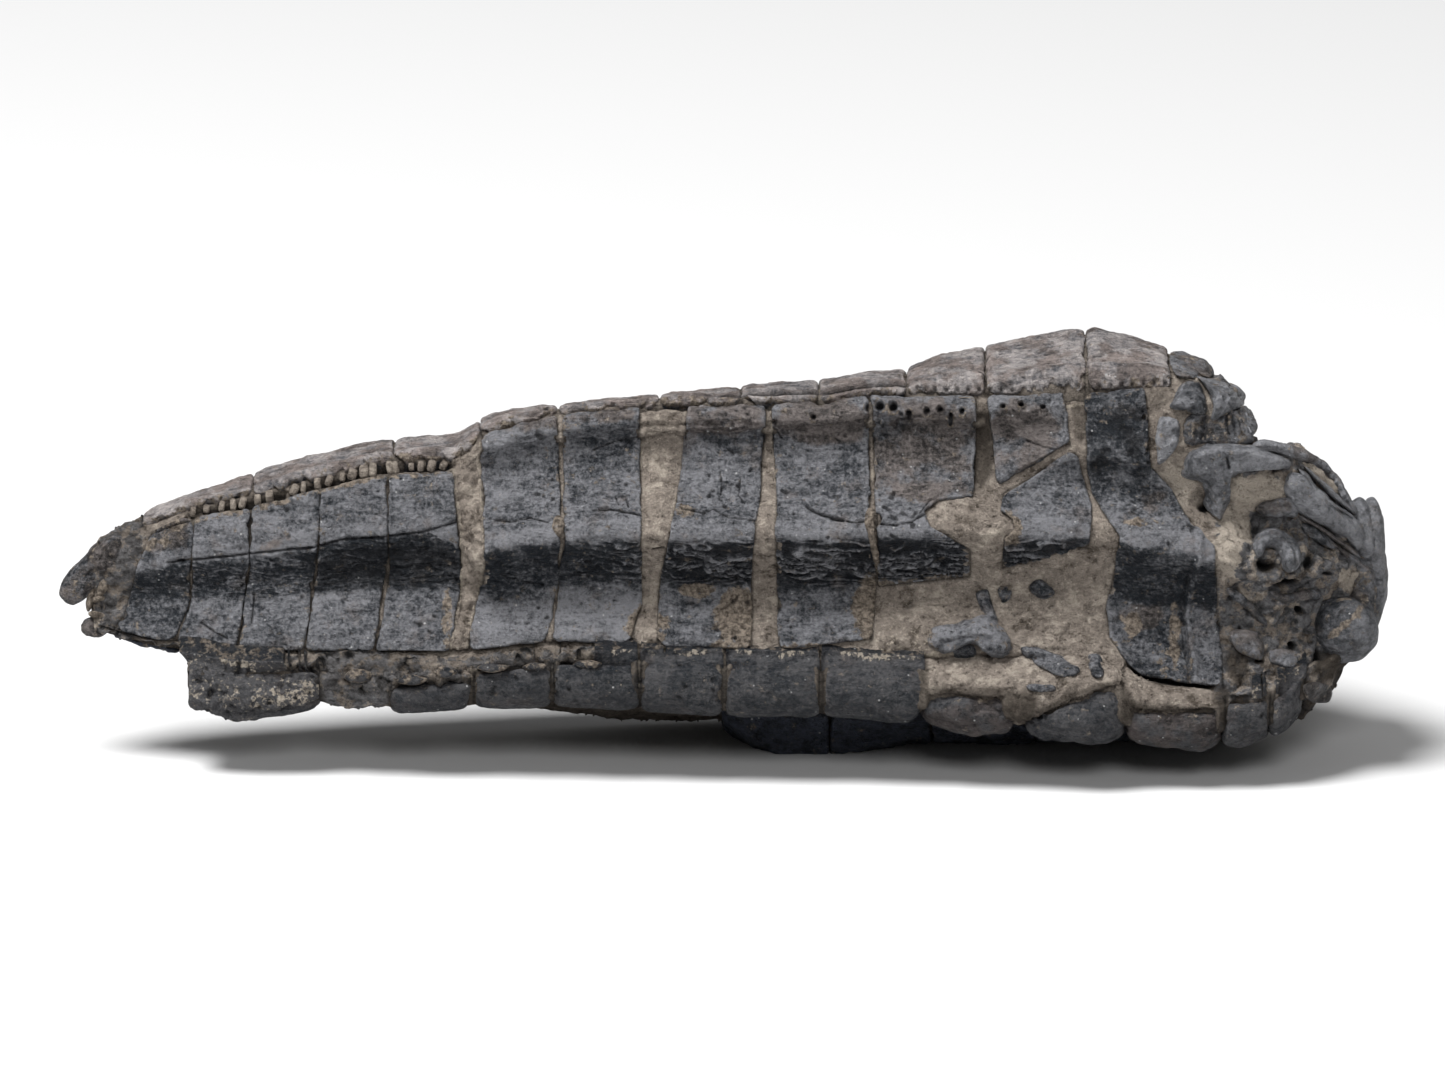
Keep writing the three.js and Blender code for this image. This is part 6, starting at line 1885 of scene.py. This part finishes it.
def build_stage():
    scene = bpy.context.scene
    stage = scene.stage_settings
    bpy.ops.mesh.primitive_plane_add(size=FLOOR_WIDTH)
    floor = bpy.context.active_object
    floor.name = "floor"
    r = Recipe("pale floor")
    floor.data.materials.append(
        r.finish(colour=stage.floor_colour, roughness=FLOOR_ROUGHNESS, shine=FLOOR_SHINE))

    world = bpy.data.worlds.new("pale room")
    world.use_nodes = True
    world.node_tree.nodes["Background"].inputs["Color"].default_value = (1, 1, 1, 1)
    world.node_tree.nodes["Background"].inputs["Strength"].default_value = stage.room_light
    scene.world = world

    for name, place, power in (
        ("top light", (-0.35, -0.22, 1.05), stage.key_power),
        ("front light", (0.25, -1.45, 0.95), stage.front_power),
    ):
        light = bpy.data.lights.new(name, "AREA")
        light.shape, light.size, light.energy = "DISK", LIGHT_WIDTH, power
        lamp = bpy.data.objects.new(name, light)
        lamp.location = place
        lamp.rotation_euler = (LIGHTS_AIM - Vector(place)).to_track_quat("-Z", "Y").to_euler()
        bpy.context.collection.objects.link(lamp)

    camera = bpy.data.cameras.new("camera")
    camera.sensor_width = SENSOR_MM
    camera.lens = SENSOR_MM * stage.distance / stage.frame_width
    camera.clip_end = FARTHEST
    eye = bpy.data.objects.new("camera", camera)
    # It looks straight at the crown's face, against the direction d.
    roll = math.radians(SEAT["roll_deg"])
    towards = Vector((0, math.cos(roll), -math.sin(roll)))
    eye.location = Vector(seated(np.array(CAMERA_AIM))) - towards * stage.distance
    eye.rotation_euler = towards.to_track_quat("-Z", "Y").to_euler()
    bpy.context.collection.objects.link(eye)
    scene.camera = eye
    scene.view_settings.view_transform = "Standard"


# --- operators and panel
class CRINOID_OT_front_arm(bpy.types.Operator):
    """Adds the plates of the front arm"""
    bl_idname = "crinoid.front_arm"
    bl_label = "Front arm"

    def execute(self, context):
        build_arm("front")
        return {"FINISHED"}


class CRINOID_OT_top_arm(bpy.types.Operator):
    """Adds the plates of the top arm"""
    bl_idname = "crinoid.top_arm"
    bl_label = "Top arm"

    def execute(self, context):
        build_arm("top")
        return {"FINISHED"}


class CRINOID_OT_lower_arm(bpy.types.Operator):
    """Adds the plates of the lower arm"""
    bl_idname = "crinoid.lower_arm"
    bl_label = "Lower arm"

    def execute(self, context):
        build_arm("lower")
        return {"FINISHED"}


class CRINOID_OT_under_arm(bpy.types.Operator):
    """Adds the plates of the under arm"""
    bl_idname = "crinoid.under_arm"
    bl_label = "Under arm"

    def execute(self, context):
        build_arm("under")
        return {"FINISHED"}


class CRINOID_OT_rear_arm(bpy.types.Operator):
    """Adds the plates of the rear arm"""
    bl_idname = "crinoid.rear_arm"
    bl_label = "Rear arm"

    def execute(self, context):
        build_arm("rear")
        return {"FINISHED"}


class CRINOID_OT_matrix(bpy.types.Operator):
    """Adds the sandstone body"""
    bl_idname = "crinoid.matrix"
    bl_label = "Sandstone"

    def execute(self, context):
        build_matrix()
        build_fills()
        return {"FINISHED"}


class CRINOID_OT_cup(bpy.types.Operator):
    """Adds the plates and knobs of the cup"""
    bl_idname = "crinoid.cup"
    bl_label = "Cup"

    def execute(self, context):
        build_cup()
        return {"FINISHED"}


class CRINOID_OT_fragments(bpy.types.Operator):
    """Adds the broken bits in the sandstone and the worn tip"""
    bl_idname = "crinoid.fragments"
    bl_label = "Fragments and tip"

    def execute(self, context):
        build_fragments()
        return {"FINISHED"}


class CRINOID_OT_sockets(bpy.types.Operator):
    """Adds the small sockets along the seam"""
    bl_idname = "crinoid.sockets"
    bl_label = "Seam sockets"

    def execute(self, context):
        build_sockets()
        return {"FINISHED"}


class CRINOID_OT_grains(bpy.types.Operator):
    """Adds coarse grains to the open sandstone"""
    bl_idname = "crinoid.grains"
    bl_label = "Sand grains"

    def execute(self, context):
        build_grains()
        return {"FINISHED"}


class CRINOID_OT_stage(bpy.types.Operator):
    """Adds the floor, lights and camera"""
    bl_idname = "crinoid.stage"
    bl_label = "Stage"

    def execute(self, context):
        build_stage()
        return {"FINISHED"}


class CRINOID_PT_panel(bpy.types.Panel):
    """Lists the pieces of the crown and what can be changed"""
    bl_label = "Crinoid Crown"
    bl_space_type = "VIEW_3D"
    bl_region_type = "UI"
    bl_category = "Crinoid"

    def draw(self, context):
        for group, made in SETTINGS.items():
            for key in made.__annotations__:
                self.layout.prop(getattr(context.scene, group), key)
        for made in OPERATORS:
            self.layout.operator(made.bl_idname)


OPERATORS = (
    CRINOID_OT_front_arm, CRINOID_OT_top_arm, CRINOID_OT_lower_arm, CRINOID_OT_under_arm, CRINOID_OT_rear_arm,
    CRINOID_OT_matrix, CRINOID_OT_cup, CRINOID_OT_fragments, CRINOID_OT_sockets, CRINOID_OT_grains, CRINOID_OT_stage,
)
SETTINGS = {"crown_sizes": CrownSizes, "crown_colours": CrownColours, "stage_settings": StageSettings}


def register():
    for made in (*SETTINGS.values(), *OPERATORS, CRINOID_PT_panel):
        bpy.utils.register_class(made)
    for key, made in SETTINGS.items():
        setattr(bpy.types.Scene, key, PointerProperty(type=made))


def unregister():
    for key in SETTINGS:
        delattr(bpy.types.Scene, key)
    for made in reversed((*SETTINGS.values(), *OPERATORS, CRINOID_PT_panel)):
        bpy.utils.unregister_class(made)


def main():
    register()
    for made in OPERATORS:
        getattr(bpy.ops.crinoid, made.bl_idname.split(".")[1])()


if __name__ == "__main__":
    main()
